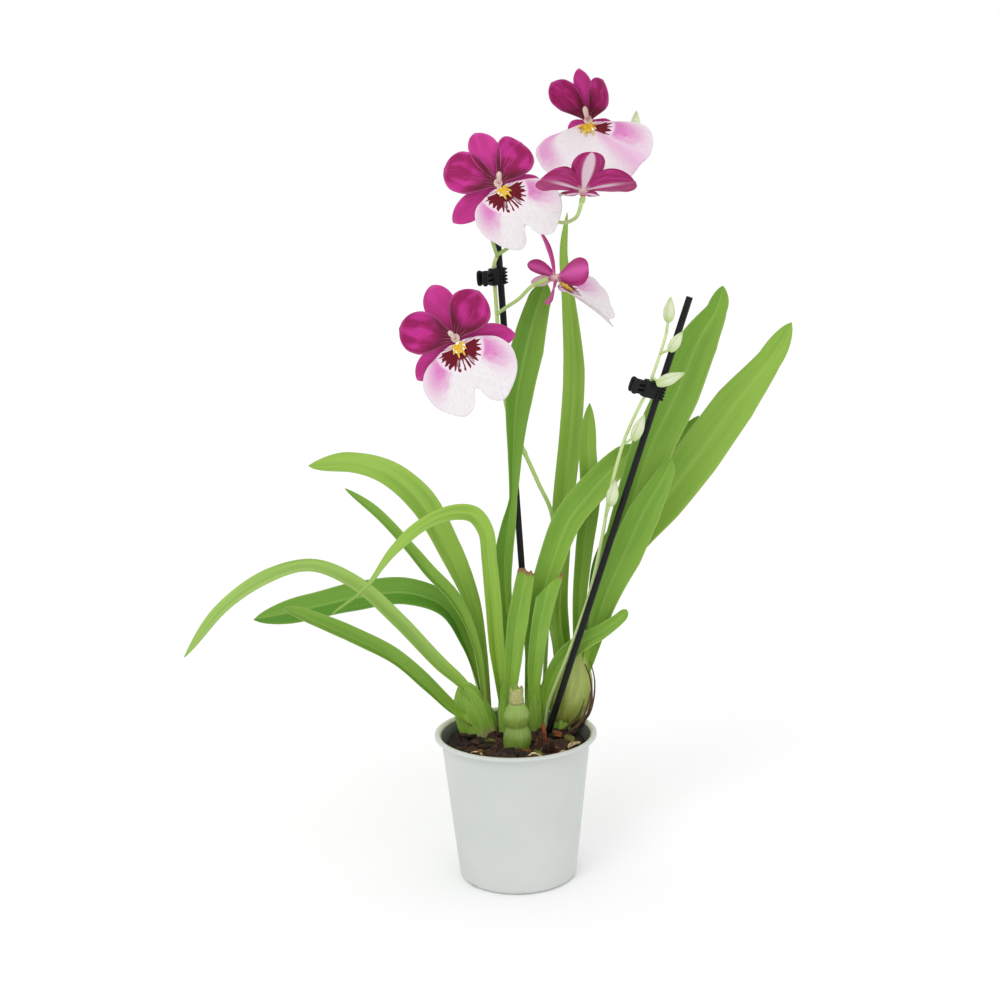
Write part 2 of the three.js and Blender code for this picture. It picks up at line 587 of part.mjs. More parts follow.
// A tepal bends forward little by little, so that its tip stands at its cup angle
function tepal({ angle, length, width, widest, offset, cup, lift, scale, narrow = 'breadth' }, bloom) {
  const turn = radians(angle - Math.sign(angle) * (lift ? bloom[lift] : 0));
  const long = length * (scale ? bloom[scale] : 1);
  const out = new THREE.Vector3(Math.sin(turn), Math.cos(turn), 0);
  const side = new THREE.Vector3(Math.cos(turn), -Math.sin(turn), 0);
  const forward = new THREE.Vector3(0, 0, 1);
  const step = (long - TEPAL_START) / TEPAL_ALONG;
  const tip = bloom[cup] - (lift ? Math.sign(angle) * bloom.petalSwing : 0);
  const tiltAt = (t) => radians(tip) * (0.6 + 0.8 * t);
  const centre = out.clone().multiplyScalar(TEPAL_START).addScaledVector(forward, offset);
  const middle = [];
  for (let i = 0; i <= TEPAL_ALONG; i++) {
    const t = i / TEPAL_ALONG;
    if (i > 0) {
      const tilt = tiltAt(t - 0.5 / TEPAL_ALONG);
      centre.addScaledVector(out, step * Math.cos(tilt)).addScaledVector(forward, step * Math.sin(tilt));
    }
    const normal = forward.clone().multiplyScalar(Math.cos(tiltAt(t))).addScaledVector(out, -Math.sin(tiltAt(t)));
    const half = (width / 2) * bloom[narrow] * tepalShare(t, widest);
    middle.push([1, 0, -1].map((s) => centre.clone()
      .addScaledVector(side, half * s)
      .addScaledVector(normal, TEPAL_HOLLOW * half * s * s)));
  }
  return thickSheet(middle, TEPAL_THICKNESS);
}

// The short body behind the bloom that all of its tepals grow from
function hub() {
  const geometry = new THREE.CylinderGeometry(HUB_RADIUS, OVARY_RADIUS, HUB_FRONT - HUB_BACK, 10);
  geometry.rotateX(Math.PI / 2);
  geometry.translate(0, 0, (HUB_FRONT + HUB_BACK) / 2);
  return toSolid(geometry);
}

// A point of the lip, from its outline point and its share of the way out
function lipPoint([across, down], share, { lipPitch, lipCup, lipRoll, lipTurn, lipSize }) {
  const [pitch, roll, turn] = [radians(lipPitch), radians(lipRoll), radians(lipTurn)];
  const bow = lipCup * (across * share * lipSize / LIP_HALF_WIDTH) ** 2 - LIP_CURL * share ** 3;
  const r = (across * Math.cos(roll) + down * Math.sin(roll)) * share * lipSize;
  const d = (down * Math.cos(roll) - across * Math.sin(roll)) * share * lipSize;
  const ahead = Math.max(d, 0) * Math.sin(pitch) + bow * Math.cos(pitch) * share;
  return new THREE.Vector3(
    r * Math.cos(turn) + ahead * Math.sin(turn),
    -LIP_DROP - d * Math.cos(pitch) + bow * Math.sin(pitch),
    LIP_FORWARD + ahead * Math.cos(turn) - r * Math.sin(turn),
  );
}

function lip(bloom) {
  const whole = [...LIP_HALF, ...LIP_HALF.slice(0, -1).reverse().map(([r, d]) => [-r, d])];
  const middle = [];
  for (let i = 0; i <= LIP_ROWS; i++) {
    const share = LIP_START + (1 - LIP_START) * (i / LIP_ROWS);
    middle.push(whole.map((p) => lipPoint(p, share, bloom)));
  }
  const ridges = [-1, 0, 1].map((k) => {
    const start = lipPoint([k * 5, 7], CREST_SHARE, bloom).toArray();
    const end = lipPoint([k * 6, 34], CREST_SHARE, bloom).toArray();
    return turnedBetween(start, end, scaled(CREST_PROFILE, CREST_RADIUS), 5);
  });
  return joined([thickSheet(middle, LIP_THICKNESS), ...ridges]);
}

const column = () => turnedBetween([0, -0.4, HUB_FRONT + COLUMN_GAP], [0, COLUMN_RISE, HUB_FRONT + COLUMN_REACH],
  scaled(COLUMN_PROFILE, COLUMN_RADIUS), 8);

// The point behind a bloom, on its axis, at the given distance from its centre
const behind = (bloom, distance) =>
  new THREE.Vector3(0, 0, -distance / bloom.size).applyMatrix4(bloomMatrix(bloom)).toArray();

// Flower spike: one stem, its side branches and a pedicel with an ovary for each bloom
const SPIKE_STEM = [
  [22, 36, 72], [23, 39, 130], [27, 43, 199], [31, 39, 262], [20, 29, 292], [9, 21, 319], [-1, 18, 345],
  [-5, 17.5, 375], [-7, 17.5, 405], [-8.2, 17.2, 430], [-8.9, 16.4, 450], [-6, 13, 459],
];
const SPIKE_TOP = [
  [-6.4, 13.4, 458], [3, 14, 464], [14, 19, 480], [25, 24, 498], [34, 25, 513], [44, 25, 520], [62, 26, 517],
  [77, 25, 517], [85, 24, 522], [90, 24, 529], [92, 24, 536],
];

// Pedicels: the last point of each route is the foot of the ovary behind its bloom
const PEDICELS = {
  bloom_low: [[-6.2, 17.5, 391], [-14, 4, 397], [-26, -12, 403], [-34, -19, 405]],
  bloom_side: [[-7.6, 17.4, 416], [0, 5, 422], [8, -8, 428], [17, -17, 437]],
  bloom_middle: [[-6.4, 13.4, 457], [-11, 5, 474], [-12, -2, 492], [-10, -7, 503]],
  bloom_back: [[21, 22, 491], [27, 12, 487], [35, 2, 481], [42, -14, 480], [48, -32, 484], [50, -48, 492]],
  bloom_top: [[35, 25, 514], [40, 32, 523], [46, 37, 534], [53, 37, 542]],
};
const SPIKE_BUD = { foot: [91.5, 24, 532], top: [93.5, 23, 556], radius: 4.6 };

function flowerSpike() {
  const parts = [rod(SPIKE_STEM, STEM_RADIUS, 22), rod(SPIKE_TOP, PEDICEL_RADIUS, 18)];
  for (const [name, route] of Object.entries(PEDICELS)) {
    const bloom = BLOOMS[name];
    const ovaryFoot = route[route.length - 1];
    const ovaryTop = behind(bloom, -HUB_BACK * bloom.size + OVARY_GAP);
    const inOvary = vector(ovaryFoot).lerp(vector(ovaryTop), 0.2).toArray();
    parts.push(rod([...route, inOvary], PEDICEL_RADIUS, Math.round(1.6 * route.length)));
    parts.push(turnedBetween(ovaryFoot, ovaryTop, scaled(OVARY_PROFILE, OVARY_RADIUS), BUD_SEGMENTS));
  }
  parts.push(turnedBetween(SPIKE_BUD.foot, SPIKE_BUD.top, scaled(BUD_PROFILE, SPIKE_BUD.radius), BUD_SEGMENTS));
  return joined(parts);
}

// Spike in bud: a thin stem tied beside the right stake, with buds on short pedicels
const BUD_STEM = [
  [19.5, 24, 74], [22, 21, 98], [24.5, 18, 122], [41, 12, 167], [57, 11, 213], [66, 6, 256], [70, 0, 282],
  [75, -3, 305], [82, -6, 329], [91.5, -6.9, 350], [97.2, -7.5, 361], [101, -8.5, 372], [107, -13, 391],
  [111, -14, 405],
];
const BUDS = [
  { stem: [68, 2.5, 270], foot: [71, -5, 279], top: [75, -6, 298], radius: 4.3 },
  { stem: [80, -5, 323], foot: [87, -12, 327], top: [95, -14, 346], radius: 4.1 },
  { stem: [100.7, -8.4, 371], foot: [103, -16, 367], top: [123, -18, 375], radius: 4.2 },
  { stem: [106, -13, 388], foot: [112, -19, 390], top: [121, -20, 404], radius: 3.8 },
  { stem: [110, -14, 402], foot: [111.5, -15, 410], top: [113, -17, 428], radius: 4.1 },
];

function budSpike() {
  const parts = [rod(BUD_STEM, BUD_STEM_RADIUS, 18)];
  for (const { stem, foot, top, radius } of BUDS) {
    const inside = vector(foot).lerp(vector(top), 0.15).toArray();
    parts.push(rod([stem, inside], 1, 1));
    parts.push(turnedBetween(foot, top, scaled(BUD_PROFILE, radius), BUD_SEGMENTS));
  }
  return joined(parts);
}

// Clips: a toothed ring round stake and stem with two finger tabs on its left
const CLIPS = {
  clip_left: { at: 'stake_left', height: 443, reach: 5.2, turn: 216 },
  clip_right: { at: 'stake_right', height: 361, reach: 9.1, turn: 194.6 },
};
const CLIP_LENGTH = 12;
const CLIP_WALL = 1.4;
const TAB_LENGTH = 9;
const TAB_THICKNESS = 1.4;
const TAB_SPLAY = 0.3;
const TOOTH_SIZE = 1.5;
const TOOTH_SPACING = 3.8;

function pointOnStake(name, height) {
  const { foot, top } = STAKES[name];
  return vector(foot).lerp(vector(top), (height - foot[2]) / (top[2] - foot[2]));
}

function clip({ at, height, reach, turn }) {
  const inner = STAKE_RADIUS + SEAT_GAP;
  const outer = inner + CLIP_WALL;
  const slot = (radius) => {
    const shape = new THREE.Shape();
    shape.absarc(0, 0, radius, -Math.PI / 2, Math.PI / 2, false);
    shape.absarc(-reach, 0, radius, Math.PI / 2, 1.5 * Math.PI, false);
    return shape;
  };
  const ringShape = slot(outer);
  ringShape.holes.push(slot(inner));
  const ring = new THREE.ExtrudeGeometry(ringShape, { depth: CLIP_LENGTH, bevelEnabled: false, curveSegments: 5 });
  ring.translate(0, 0, -CLIP_LENGTH / 2);
  const parts = [toSolid(ring)];
  for (const side of [-1, 1]) {
    const tab = new THREE.BoxGeometry(TAB_LENGTH, TAB_THICKNESS, CLIP_LENGTH);
    tab.rotateZ(side * -TAB_SPLAY);
    tab.translate(-reach - outer - 0.38 * TAB_LENGTH, side * 0.38 * TAB_LENGTH, 0);
    parts.push(toSolid(tab));
    for (const row of [-1, 0, 1]) {
      const tooth = new THREE.BoxGeometry(TOOTH_SIZE, TOOTH_SIZE, TOOTH_SIZE);
      tooth.translate(0.6, side * (outer + 0.4), row * TOOTH_SPACING);
      parts.push(toSolid(tooth));
    }
  }
  const { foot, top } = STAKES[at];
  const axis = vector(top).sub(vector(foot)).normalize();
  const side = new THREE.Vector3(-Math.cos(radians(turn)), -Math.sin(radians(turn)), 0);
  side.addScaledVector(axis, -side.dot(axis)).normalize();
  const front = new THREE.Vector3().crossVectors(axis, side);
  const matrix = new THREE.Matrix4().makeBasis(side, front, axis);
  matrix.setPosition(pointOnStake(at, height));
  return joined(parts).transform(matrix.elements);
}

// The whole plant
const object = new THREE.Group();

function addMesh(name, solid, look, matrix = null) {
  const mesh = new THREE.Mesh(toGeometry(solid), look.clone());
  mesh.name = name;
  if (matrix) mesh.applyMatrix4(matrix);
  object.add(mesh);
}

// Plain round holes in the medium for what stands in it
function holeFor(foot, next, radius) {
  const from = vector(foot);
  const way = vector(next).sub(from).normalize();
  const deep = from.clone().addScaledVector(way, -2 * HOLE_CLEARANCE);
  const high = from.clone().addScaledVector(way, HOLE_HEIGHT);
  return rod([deep.toArray(), high.toArray()], radius + 2 * HOLE_CLEARANCE, 1, HOLE_SIDES);
}

function barkMedium() {
  const holes = [
    holeFor(STAKES.stake_left.foot, STAKES.stake_left.top, STAKE_RADIUS),
    holeFor(STAKES.stake_right.foot, STAKES.stake_right.top, STAKE_RADIUS),
    holeFor(SPIKE_STEM[0], SPIKE_STEM[1], STEM_RADIUS),
    holeFor(BUD_STEM[0], BUD_STEM[1], BUD_STEM_RADIUS),
    ...Object.values(SHOOTS).flatMap(({ bases }) => bases.map((base) => bulbBody(base, HOLE_CLEARANCE))),
    bulbBody(OLD_BULB, HOLE_CLEARANCE),
  ];
  const pieces = cutBy(barkMound().add(barkChips()), holes).decompose();
  return pieces.reduce((largest, piece) => (piece.volume() > largest.volume() ? piece : largest));
}

addMesh('pot', pot(), potPlastic);
addMesh('bark_medium', barkMedium(), barkBrown);
for (const [name, plan] of Object.entries(SHOOTS)) addMesh(name, shoot(plan), leafGreen);
addMesh('old_pseudobulb', bulbBody(OLD_BULB), bulbGreen);
addMesh('flower_spike', flowerSpike(), stemGreen);
addMesh('bud_spike', budSpike(), budGreen);
for (const [name, plan] of Object.entries(BLOOMS)) {
  const matrix = bloomMatrix(plan);
  const tepals = joined([hub(), ...Object.values(TEPALS).map((shape) => tepal(shape, plan))]);
  addMesh(`${name}_tepals`, tepals, tepalMagenta, matrix);
  addMesh(`${name}_lip`, lip(plan), lipWhite, matrix);
  addMesh(`${name}_column`, column(), columnCream, matrix);
}
for (const [name, plan] of Object.entries(STAKES)) addMesh(name, stake(plan), stakeBlack);
for (const [name, plan] of Object.entries(CLIPS)) addMesh(name, clip(plan), stakeBlack);

export default object;
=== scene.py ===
"""Looks of a potted miltonia orchid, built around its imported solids.

Shapes are written in millimetres, in the frame of the solids, and become metres in build().
"""
import math
import random

import bpy
from mathutils import Matrix, Vector, noise


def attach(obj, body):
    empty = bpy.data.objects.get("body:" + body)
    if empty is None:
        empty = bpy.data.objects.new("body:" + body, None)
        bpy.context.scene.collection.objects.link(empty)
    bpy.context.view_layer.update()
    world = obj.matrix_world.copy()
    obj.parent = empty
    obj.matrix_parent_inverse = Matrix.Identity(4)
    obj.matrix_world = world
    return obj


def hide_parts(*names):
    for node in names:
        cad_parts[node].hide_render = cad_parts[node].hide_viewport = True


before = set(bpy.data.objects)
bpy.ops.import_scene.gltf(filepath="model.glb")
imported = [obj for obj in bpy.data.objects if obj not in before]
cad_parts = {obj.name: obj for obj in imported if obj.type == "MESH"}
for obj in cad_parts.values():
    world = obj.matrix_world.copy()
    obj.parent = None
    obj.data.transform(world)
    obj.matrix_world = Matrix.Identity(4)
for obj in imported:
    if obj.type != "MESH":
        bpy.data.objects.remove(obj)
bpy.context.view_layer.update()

MM = 0.001
GOLDEN_ANGLE = 2.4


# Camera
CAMERA_PLACE = (-0.008, -1.1, 0.49)
CAMERA_DOWN = 10.6
CAMERA_ROLL = -1.2
CAMERA_LENS = 56.0


def make_camera():
    data = bpy.data.cameras.new("camera")
    data.lens = CAMERA_LENS
    data.sensor_width = 36
    data.clip_start = 0.01
    data.clip_end = 30
    camera = bpy.data.objects.new("camera", data)
    bpy.context.scene.collection.objects.link(camera)
    tilt = Matrix.Rotation(math.radians(90 - CAMERA_DOWN), 4, "X")
    roll = Matrix.Rotation(math.radians(CAMERA_ROLL), 4, "Z")
    camera.matrix_world = Matrix.Translation(CAMERA_PLACE) @ tilt @ roll
    bpy.context.scene.camera = camera


make_camera()


# Small helpers
def lerp(a, b, t):
    return a + (b - a) * t


def smoothstep(x, low, high):
    t = min(max((x - low) / (high - low), 0), 1)
    return t * t * (3 - 2 * t)


def spread(values, t):
    """A value read along a list that is spread evenly from 0 to 1."""
    place = min(max(t, 0), 1) * (len(values) - 1)
    low = min(int(place), len(values) - 2)
    return lerp(values[low], values[low + 1], place - low)


def spread_vector(values, t):
    return Vector([spread([v[axis] for v in values], t) for axis in range(3)])


def ripple(x, y=0.0, z=0.0):
    """Smooth noise from about -1 to 1."""
    return noise.noise(Vector((x, y, z)))


class Route:
    """A smooth line through points, the same line that the solids follow."""

    def __init__(self, points):
        self.points = [Vector(p[:3]) for p in points]

    def at(self, t):
        points = self.points
        last = len(points) - 1
        place = min(max(t, 0), 1) * last
        k = min(int(place), last - 1)
        weight = place - k
        p1, p2 = points[k], points[k + 1]
        p0 = points[k - 1] if k > 0 else 2 * points[0] - points[1]
        p3 = points[k + 2] if k + 2 <= last else 2 * points[last] - points[last - 1]
        d0, d1, d2 = ((b - a).length ** 0.5 for a, b in ((p0, p1), (p1, p2), (p2, p3)))
        m1 = ((p1 - p0) / d0 - (p2 - p0) / (d0 + d1) + (p2 - p1) / d1) * d1
        m2 = ((p2 - p1) / d1 - (p3 - p1) / (d1 + d2) + (p3 - p2) / d2) * d1
        c2 = -3 * p1 + 3 * p2 - 2 * m1 - m2
        c3 = 2 * p1 - 2 * p2 + m1 + m2
        return p1 + m1 * weight + c2 * weight**2 + c3 * weight**3

    def tangent(self, t):
        delta = 0.0005
        return (self.at(min(t + delta, 1)) - self.at(max(t - delta, 0))).normalized()


class Shape:
    """Points in millimetres, their faces, and named measures at each point."""

    def __init__(self):
        self.points = []
        self.faces = []
        self.looks = []
        self.measures = {}

    def add(self, points, faces, look=0, **measures):
        start = len(self.points)
        self.points.extend(points)
        self.faces.extend([tuple(start + i for i in face) for face in faces])
        self.looks.extend([look] * len(faces))
        for key in set(measures) | set(self.measures):
            values = self.measures.setdefault(key, [0.0] * start)
            new = measures.get(key, 0.0)
            values.extend(new if isinstance(new, list) else [new] * len(points))

    def build(self, name, materials, slot, *nodes, matrix=None, smooth=True):
        place = matrix or Matrix.Identity(4)
        mesh = bpy.data.meshes.new(name)
        mesh.from_pydata([(place @ p) * MM for p in self.points], [], self.faces)
        for material in materials:
            mesh.materials.append(material)
        mesh.polygons.foreach_set("material_index", self.looks)
        mesh.polygons.foreach_set("use_smooth", [smooth] * len(self.faces))
        for key, values in self.measures.items():
            mesh.attributes.new(key, "FLOAT", "POINT").data.foreach_set("value", values)
        mesh.validate()
        piece = bpy.data.objects.new(name, mesh)
        bpy.context.scene.collection.objects.link(piece)
        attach(piece, "root")
        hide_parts(*nodes)
        return piece


def grid_faces(rows, columns, closed=False, start=0, flip=False):
    """Faces of a grid of points, row by row. A closed grid joins its last column to its first."""
    faces = []
    for i in range(rows - 1):
        for j in range(columns if closed else columns - 1):
            k = (j + 1) % columns
            face = [i * columns + j, i * columns + k, (i + 1) * columns + k, (i + 1) * columns + j]
            faces.append([start + v for v in (reversed(face) if flip else face)])
    return faces


def add_sheet(shape, middle, thickness_at, look=0, **measures):
    """A closed thin sheet about a grid of middle points. The first side is its front."""
    rows, columns = len(middle), len(middle[0])
    front, back = [], []
    for i in range(rows):
        for j in range(columns):
            along = middle[min(i + 1, rows - 1)][j] - middle[max(i - 1, 0)][j]
            across = middle[i][min(j + 1, columns - 1)] - middle[i][max(j - 1, 0)]
            normal = across.cross(along).normalized() * (thickness_at(i, j) / 2)
            front.append(middle[i][j] + normal)
            back.append(middle[i][j] - normal)
    size = rows * columns
    faces = grid_faces(rows, columns)
    faces += grid_faces(rows, columns, start=size, flip=True)
    rim = [j for j in range(columns - 1)]
    rim += [i * columns + columns - 1 for i in range(rows - 1)]
    rim += [(rows - 1) * columns + j for j in range(columns - 1, 0, -1)]
    rim += [i * columns for i in range(rows - 1, 0, -1)]
    for a, b in zip(rim, rim[1:] + rim[:1]):
        faces.append([a, size + a, size + b, b])
    doubled = {key: values + values for key, values in measures.items()}
    shape.add(front + back, faces, look, front=[1.0] * size + [0.0] * size, **doubled)


def frames_along(route, steps, reach=(0, 1)):
    """Points, tangents and steady side vectors along a route."""
    found = []
    side = None
    for i in range(steps + 1):
        t = lerp(reach[0], reach[1], i / steps)
        tangent = route.tangent(t)
        if side is None:
            side = tangent.cross(Vector((0.3, 1, 0.1))).normalized()
        side = (side - tangent * side.dot(tangent)).normalized()
        found.append((route.at(t), side, tangent.cross(side).normalized()))
    return found


def add_tube(shape, points, radius_at, sides=14, steps=None, look=0, **measures):
    """A round tube along a smooth route, closed at both ends."""
    route = Route(points)
    steps = steps or 8 * (len(points) - 1)
    ring_points, along, round_share = [], [], []
    for i, (centre, side, up) in enumerate(frames_along(route, steps)):
        t = i / steps
        for k in range(sides):
            angle = 2 * math.pi * k / sides
            r = radius_at(t, angle)
            ring_points.append(centre + side * (r * math.cos(angle)) + up * (r * math.sin(angle)))
            along.append(t)
            round_share.append(k / sides)
    faces = grid_faces(steps + 1, sides, closed=True)
    faces.append(list(range(sides))[::-1])
    faces.append([steps * sides + k for k in range(sides)])
    shape.add(ring_points, faces, look, along=along, around=round_share, **measures)


def add_turned(shape, start, end, profile, radius, sides=28, steps=40, flat=1.0, turn=0.0,
               look=0, relief=None, **measures):
    """A body turned about the line from start to end. relief(t, angle) is a share added to the radius."""
    start, end = Vector(start), Vector(end)
    axis = (end - start).normalized()
    to_axis = Vector((0, 0, 1)).rotation_difference(axis)
    outline = Route([(along, share, 0) for along, share in profile])
    points, along, around = [], [], []
    for i in range(steps + 1):
        place = outline.at(i / steps)
        t, share = min(max(place.x, 0), 1), max(place.y, 0.0)
        for k in range(sides):
            angle = 2 * math.pi * k / sides
            r = radius * share * (1 + (relief(t, angle) if relief else 0))
            spot = Vector((r * math.cos(angle), flat * r * math.sin(angle), 0))
            spot.rotate(Matrix.Rotation(math.radians(turn), 3, "Z"))
            spot.z = t * (end - start).length
            spot.rotate(to_axis)
            points.append(start + spot)
            along.append(t)
            around.append(k / sides)
    faces = grid_faces(steps + 1, sides, closed=True)
    shape.add(points, faces, look, along=along, around=around, **measures)


# Materials
def srgb(red, green, blue):
    """A colour as it looks on screen, from 0 to 255, as a shader's linear colour."""
    def linear(c):
        c = c / 255
        return c / 12.92 if c <= 0.04045 else ((c + 0.055) / 1.055) ** 2.4
    return (linear(red), linear(green), linear(blue), 1.0)


class Paint:
    """A node material put together with short calls."""

    def __init__(self, name, roughness, **settings):
        self.material = bpy.data.materials.new(name)
        self.material.use_nodes = True
        self.nodes = self.material.node_tree.nodes
        self.links = self.material.node_tree.links
        self.shader = self.nodes["Principled BSDF"]
        self.shader.inputs["Roughness"].default_value = roughness
        for key, value in settings.items():
            self.shader.inputs[key.replace("_", " ")].default_value = value

    def put(self, socket, value):
        if isinstance(value, bpy.types.NodeSocket):
            self.links.new(value, socket)
        else:
            socket.default_value = value

    def math(self, operation, *values):
        node = self.nodes.new("ShaderNodeMath")
        node.operation = operation
        for socket, value in zip(node.inputs, values):
            self.put(socket, value)
        return node.outputs[0]

    def add(self, a, b):
        return self.math("ADD", a, b)

    def times(self, a, b):
        return self.math("MULTIPLY", a, b)

    def step(self, value, low, high, start=0.0, end=1.0):
        node = self.nodes.new("ShaderNodeMapRange")
        node.interpolation_type = "SMOOTHSTEP"
        for key, number in (("Value", value), ("From Min", low), ("From Max", high),
                            ("To Min", start), ("To Max", end)):
            self.put(node.inputs[key], number)
        return node.outputs[0]

    def mix(self, share, a, b):
        node = self.nodes.new("ShaderNodeMix")
        node.data_type = "RGBA"
        self.put(node.inputs["Factor"], share)
        self.put(node.inputs[6], a)
        self.put(node.inputs[7], b)
        return node.outputs[2]

    def measure(self, name):
        node = self.nodes.new("ShaderNodeAttribute")
        node.attribute_name = name
        return node.outputs["Fac"]

    def vector(self, x=0.0, y=0.0, z=0.0):
        node = self.nodes.new("ShaderNodeCombineXYZ")
        for socket, value in zip(node.inputs, (x, y, z)):
            self.put(socket, value)
        return node.outputs[0]

    def noise(self, scale, detail=3.0, place=None, rough=0.5):
        node = self.nodes.new("ShaderNodeTexNoise")
        if place is None:
            place = self.nodes.new("ShaderNodeTexCoord").outputs["Object"]
        self.put(node.inputs["Vector"], place)
        for key, number in (("Scale", scale), ("Detail", detail), ("Roughness", rough)):
            self.put(node.inputs[key], number)
        return node.outputs["Fac"]

    def colour(self, value):
        self.put(self.shader.inputs["Base Color"], value)

    def bump(self, height, strength, distance):
        node = self.nodes.new("ShaderNodeBump")
        node.inputs["Strength"].default_value = strength
        node.inputs["Distance"].default_value = distance
        self.put(node.inputs["Height"], height)
        self.links.new(node.outputs[0], self.shader.inputs["Normal"])


def leaf_paint():
    paint = Paint("leaf_green", 0.5, Coat_Weight=0.04, Coat_Roughness=0.4, Specular_IOR_Level=0.25)
    along, across = paint.measure("along"), paint.measure("across")
    tone, front = paint.measure("tone"), paint.measure("front")
    edge = paint.math("ABSOLUTE", across)
    colour = paint.mix(paint.math("MINIMUM", tone, 1.0), srgb(72, 128, 18), srgb(142, 180, 68))
    # painted sheen: a tone above 1 (left_arch) mixes the green toward a pale grey-green, standing in for the sheen of
    # light on that leaf
    colour = paint.mix(paint.step(tone, 1.0, 2.0), colour, srgb(172, 194, 134))
    colour = paint.mix(paint.step(along, 0.02, 0.36, 0.85, 0.0), colour, srgb(152, 190, 62))
    # painted light: the half of the blade on one side of the midrib is painted lighter, standing in for the lit side of
    # the fold
    colour = paint.mix(paint.step(across, -0.14, 0.14, 0.0, 0.24), colour, srgb(158, 194, 84))
    wander = paint.noise(2.0, 2.0, paint.vector(paint.times(along, 1.6), paint.times(across, 0.7), tone))
    colour = paint.mix(paint.step(wander, 0.35, 0.7, 0.0, 0.34), colour, srgb(66, 120, 18))
    veins = paint.noise(6.0, 3.0, paint.vector(paint.times(along, 0.4), paint.times(across, 7.0), tone))
    colour = paint.mix(paint.step(veins, 0.4, 0.7, 0.0, 0.2), colour, srgb(160, 196, 84))
    colour = paint.mix(paint.step(edge, 0.0, 0.14, 0.22, 0.0), colour, srgb(172, 198, 106))
    colour = paint.mix(paint.step(edge, 0.9, 1.0, 0.0, 0.4), colour, srgb(176, 196, 120))
    colour = paint.mix(paint.step(front, 0.0, 1.0, 0.25, 0.0), colour, srgb(146, 176, 96))
    dry = paint.measure("dry")
    colour = paint.mix(paint.step(dry, 0.3, 0.9), colour, srgb(134, 96, 60))
    paint.colour(colour)
    paint.bump(paint.add(veins, paint.times(wander, 0.5)), 0.2, 0.0005)
    return paint.material


def sheath_paint():
    paint = Paint("sheath", 0.6)
    along, around = paint.measure("along"), paint.measure("around")
    fibres = paint.noise(9.0, 5.0, paint.vector(paint.times(along, 0.5), paint.times(around, 14.0), 0.0))
    papery = paint.step(paint.add(along, paint.times(fibres, 0.35)), 0.5, 0.62, 1.0, 0.0)
    papery = paint.times(papery, paint.measure("papery"))
    straw = paint.mix(paint.step(fibres, 0.42, 0.68), srgb(142, 136, 88), srgb(198, 194, 142))
    straw = paint.mix(paint.step(fibres, 0.42, 0.3, 0.0, 0.6), straw, srgb(96, 74, 48))
    green = paint.mix(paint.step(fibres, 0.35, 0.7), srgb(118, 162, 44), srgb(150, 186, 74))
    colour = paint.mix(papery, green, straw)
    paint.colour(colour)
    paint.bump(fibres, 0.5, 0.0012)
    return paint.material


def bulb_paint(name, low, high, shade):
    paint = Paint(name, 0.42, Coat_Weight=0.1, Specular_IOR_Level=0.4)
    along, around = paint.measure("along"), paint.measure("around")
    fibres = paint.noise(4.0, 4.0, paint.vector(along, paint.times(around, 9.0), 0.0))
    spots = paint.noise(240.0, 3.0)
    colour = paint.mix(paint.step(along, 0.0, 0.8), low, high)
    colour = paint.mix(paint.step(fibres, 0.45, 0.75, 0.0, 0.45), colour, shade)
    colour = paint.mix(paint.step(spots, 0.6, 0.75, 0.0, 0.35), colour, srgb(104, 108, 44))
    colour = paint.mix(paint.times(paint.step(fibres, 0.4, 0.6, 1.0, 0.3), paint.step(along, 0.0, 0.22, 0.8, 0.0)),
                       colour, srgb(84, 62, 38))
    paint.colour(colour)
    paint.bump(fibres, 0.3, 0.0007)
    return paint.material


def husk_paint(name, dark, light):
    paint = Paint(name, 0.75)
    along, around = paint.measure("along"), paint.measure("around")
    fibres = paint.noise(6.0, 4.0, paint.vector(along, paint.times(around, 8.0), 0.0))
    paint.colour(paint.mix(paint.step(fibres, 0.35, 0.65), dark, light))
    paint.bump(fibres, 0.5, 0.0008)
    return paint.material


def stem_paint(name, low, high, shade):
    paint = Paint(name, 0.45, Coat_Weight=0.08)
    along, around = paint.measure("along"), paint.measure("around")
    lines = paint.noise(5.0, 3.0, paint.vector(paint.times(along, 2.0), paint.times(around, 8.0), 0.0))
    colour = paint.mix(along, low, high)
    colour = paint.mix(paint.step(lines, 0.4, 0.75, 0.0, 0.5), colour, shade)
    paint.colour(colour)
    paint.bump(lines, 0.15, 0.0004)
    return paint.material


def bud_paint():
    paint = Paint("bud_green", 0.5)
    along, around = paint.measure("along"), paint.measure("around")
    seams = paint.math("ABSOLUTE", paint.math("SINE", paint.times(around, math.pi * 3)))
    speckle = paint.noise(420.0, 2.0)
    colour = paint.mix(paint.step(along, 0.0, 0.5), srgb(188, 208, 140), srgb(206, 216, 178))
    colour = paint.mix(paint.step(along, 0.7, 1.0, 0.0, 0.7), colour, srgb(158, 186, 112))
    colour = paint.mix(paint.step(seams, 0.0, 0.28, 0.55, 0.0), colour, srgb(142, 168, 98))
    colour = paint.mix(paint.step(speckle, 0.5, 0.8, 0.0, 0.3), colour, srgb(232, 234, 216))
    paint.colour(colour)
    paint.bump(seams, 0.3, 0.0005)
    return paint.material


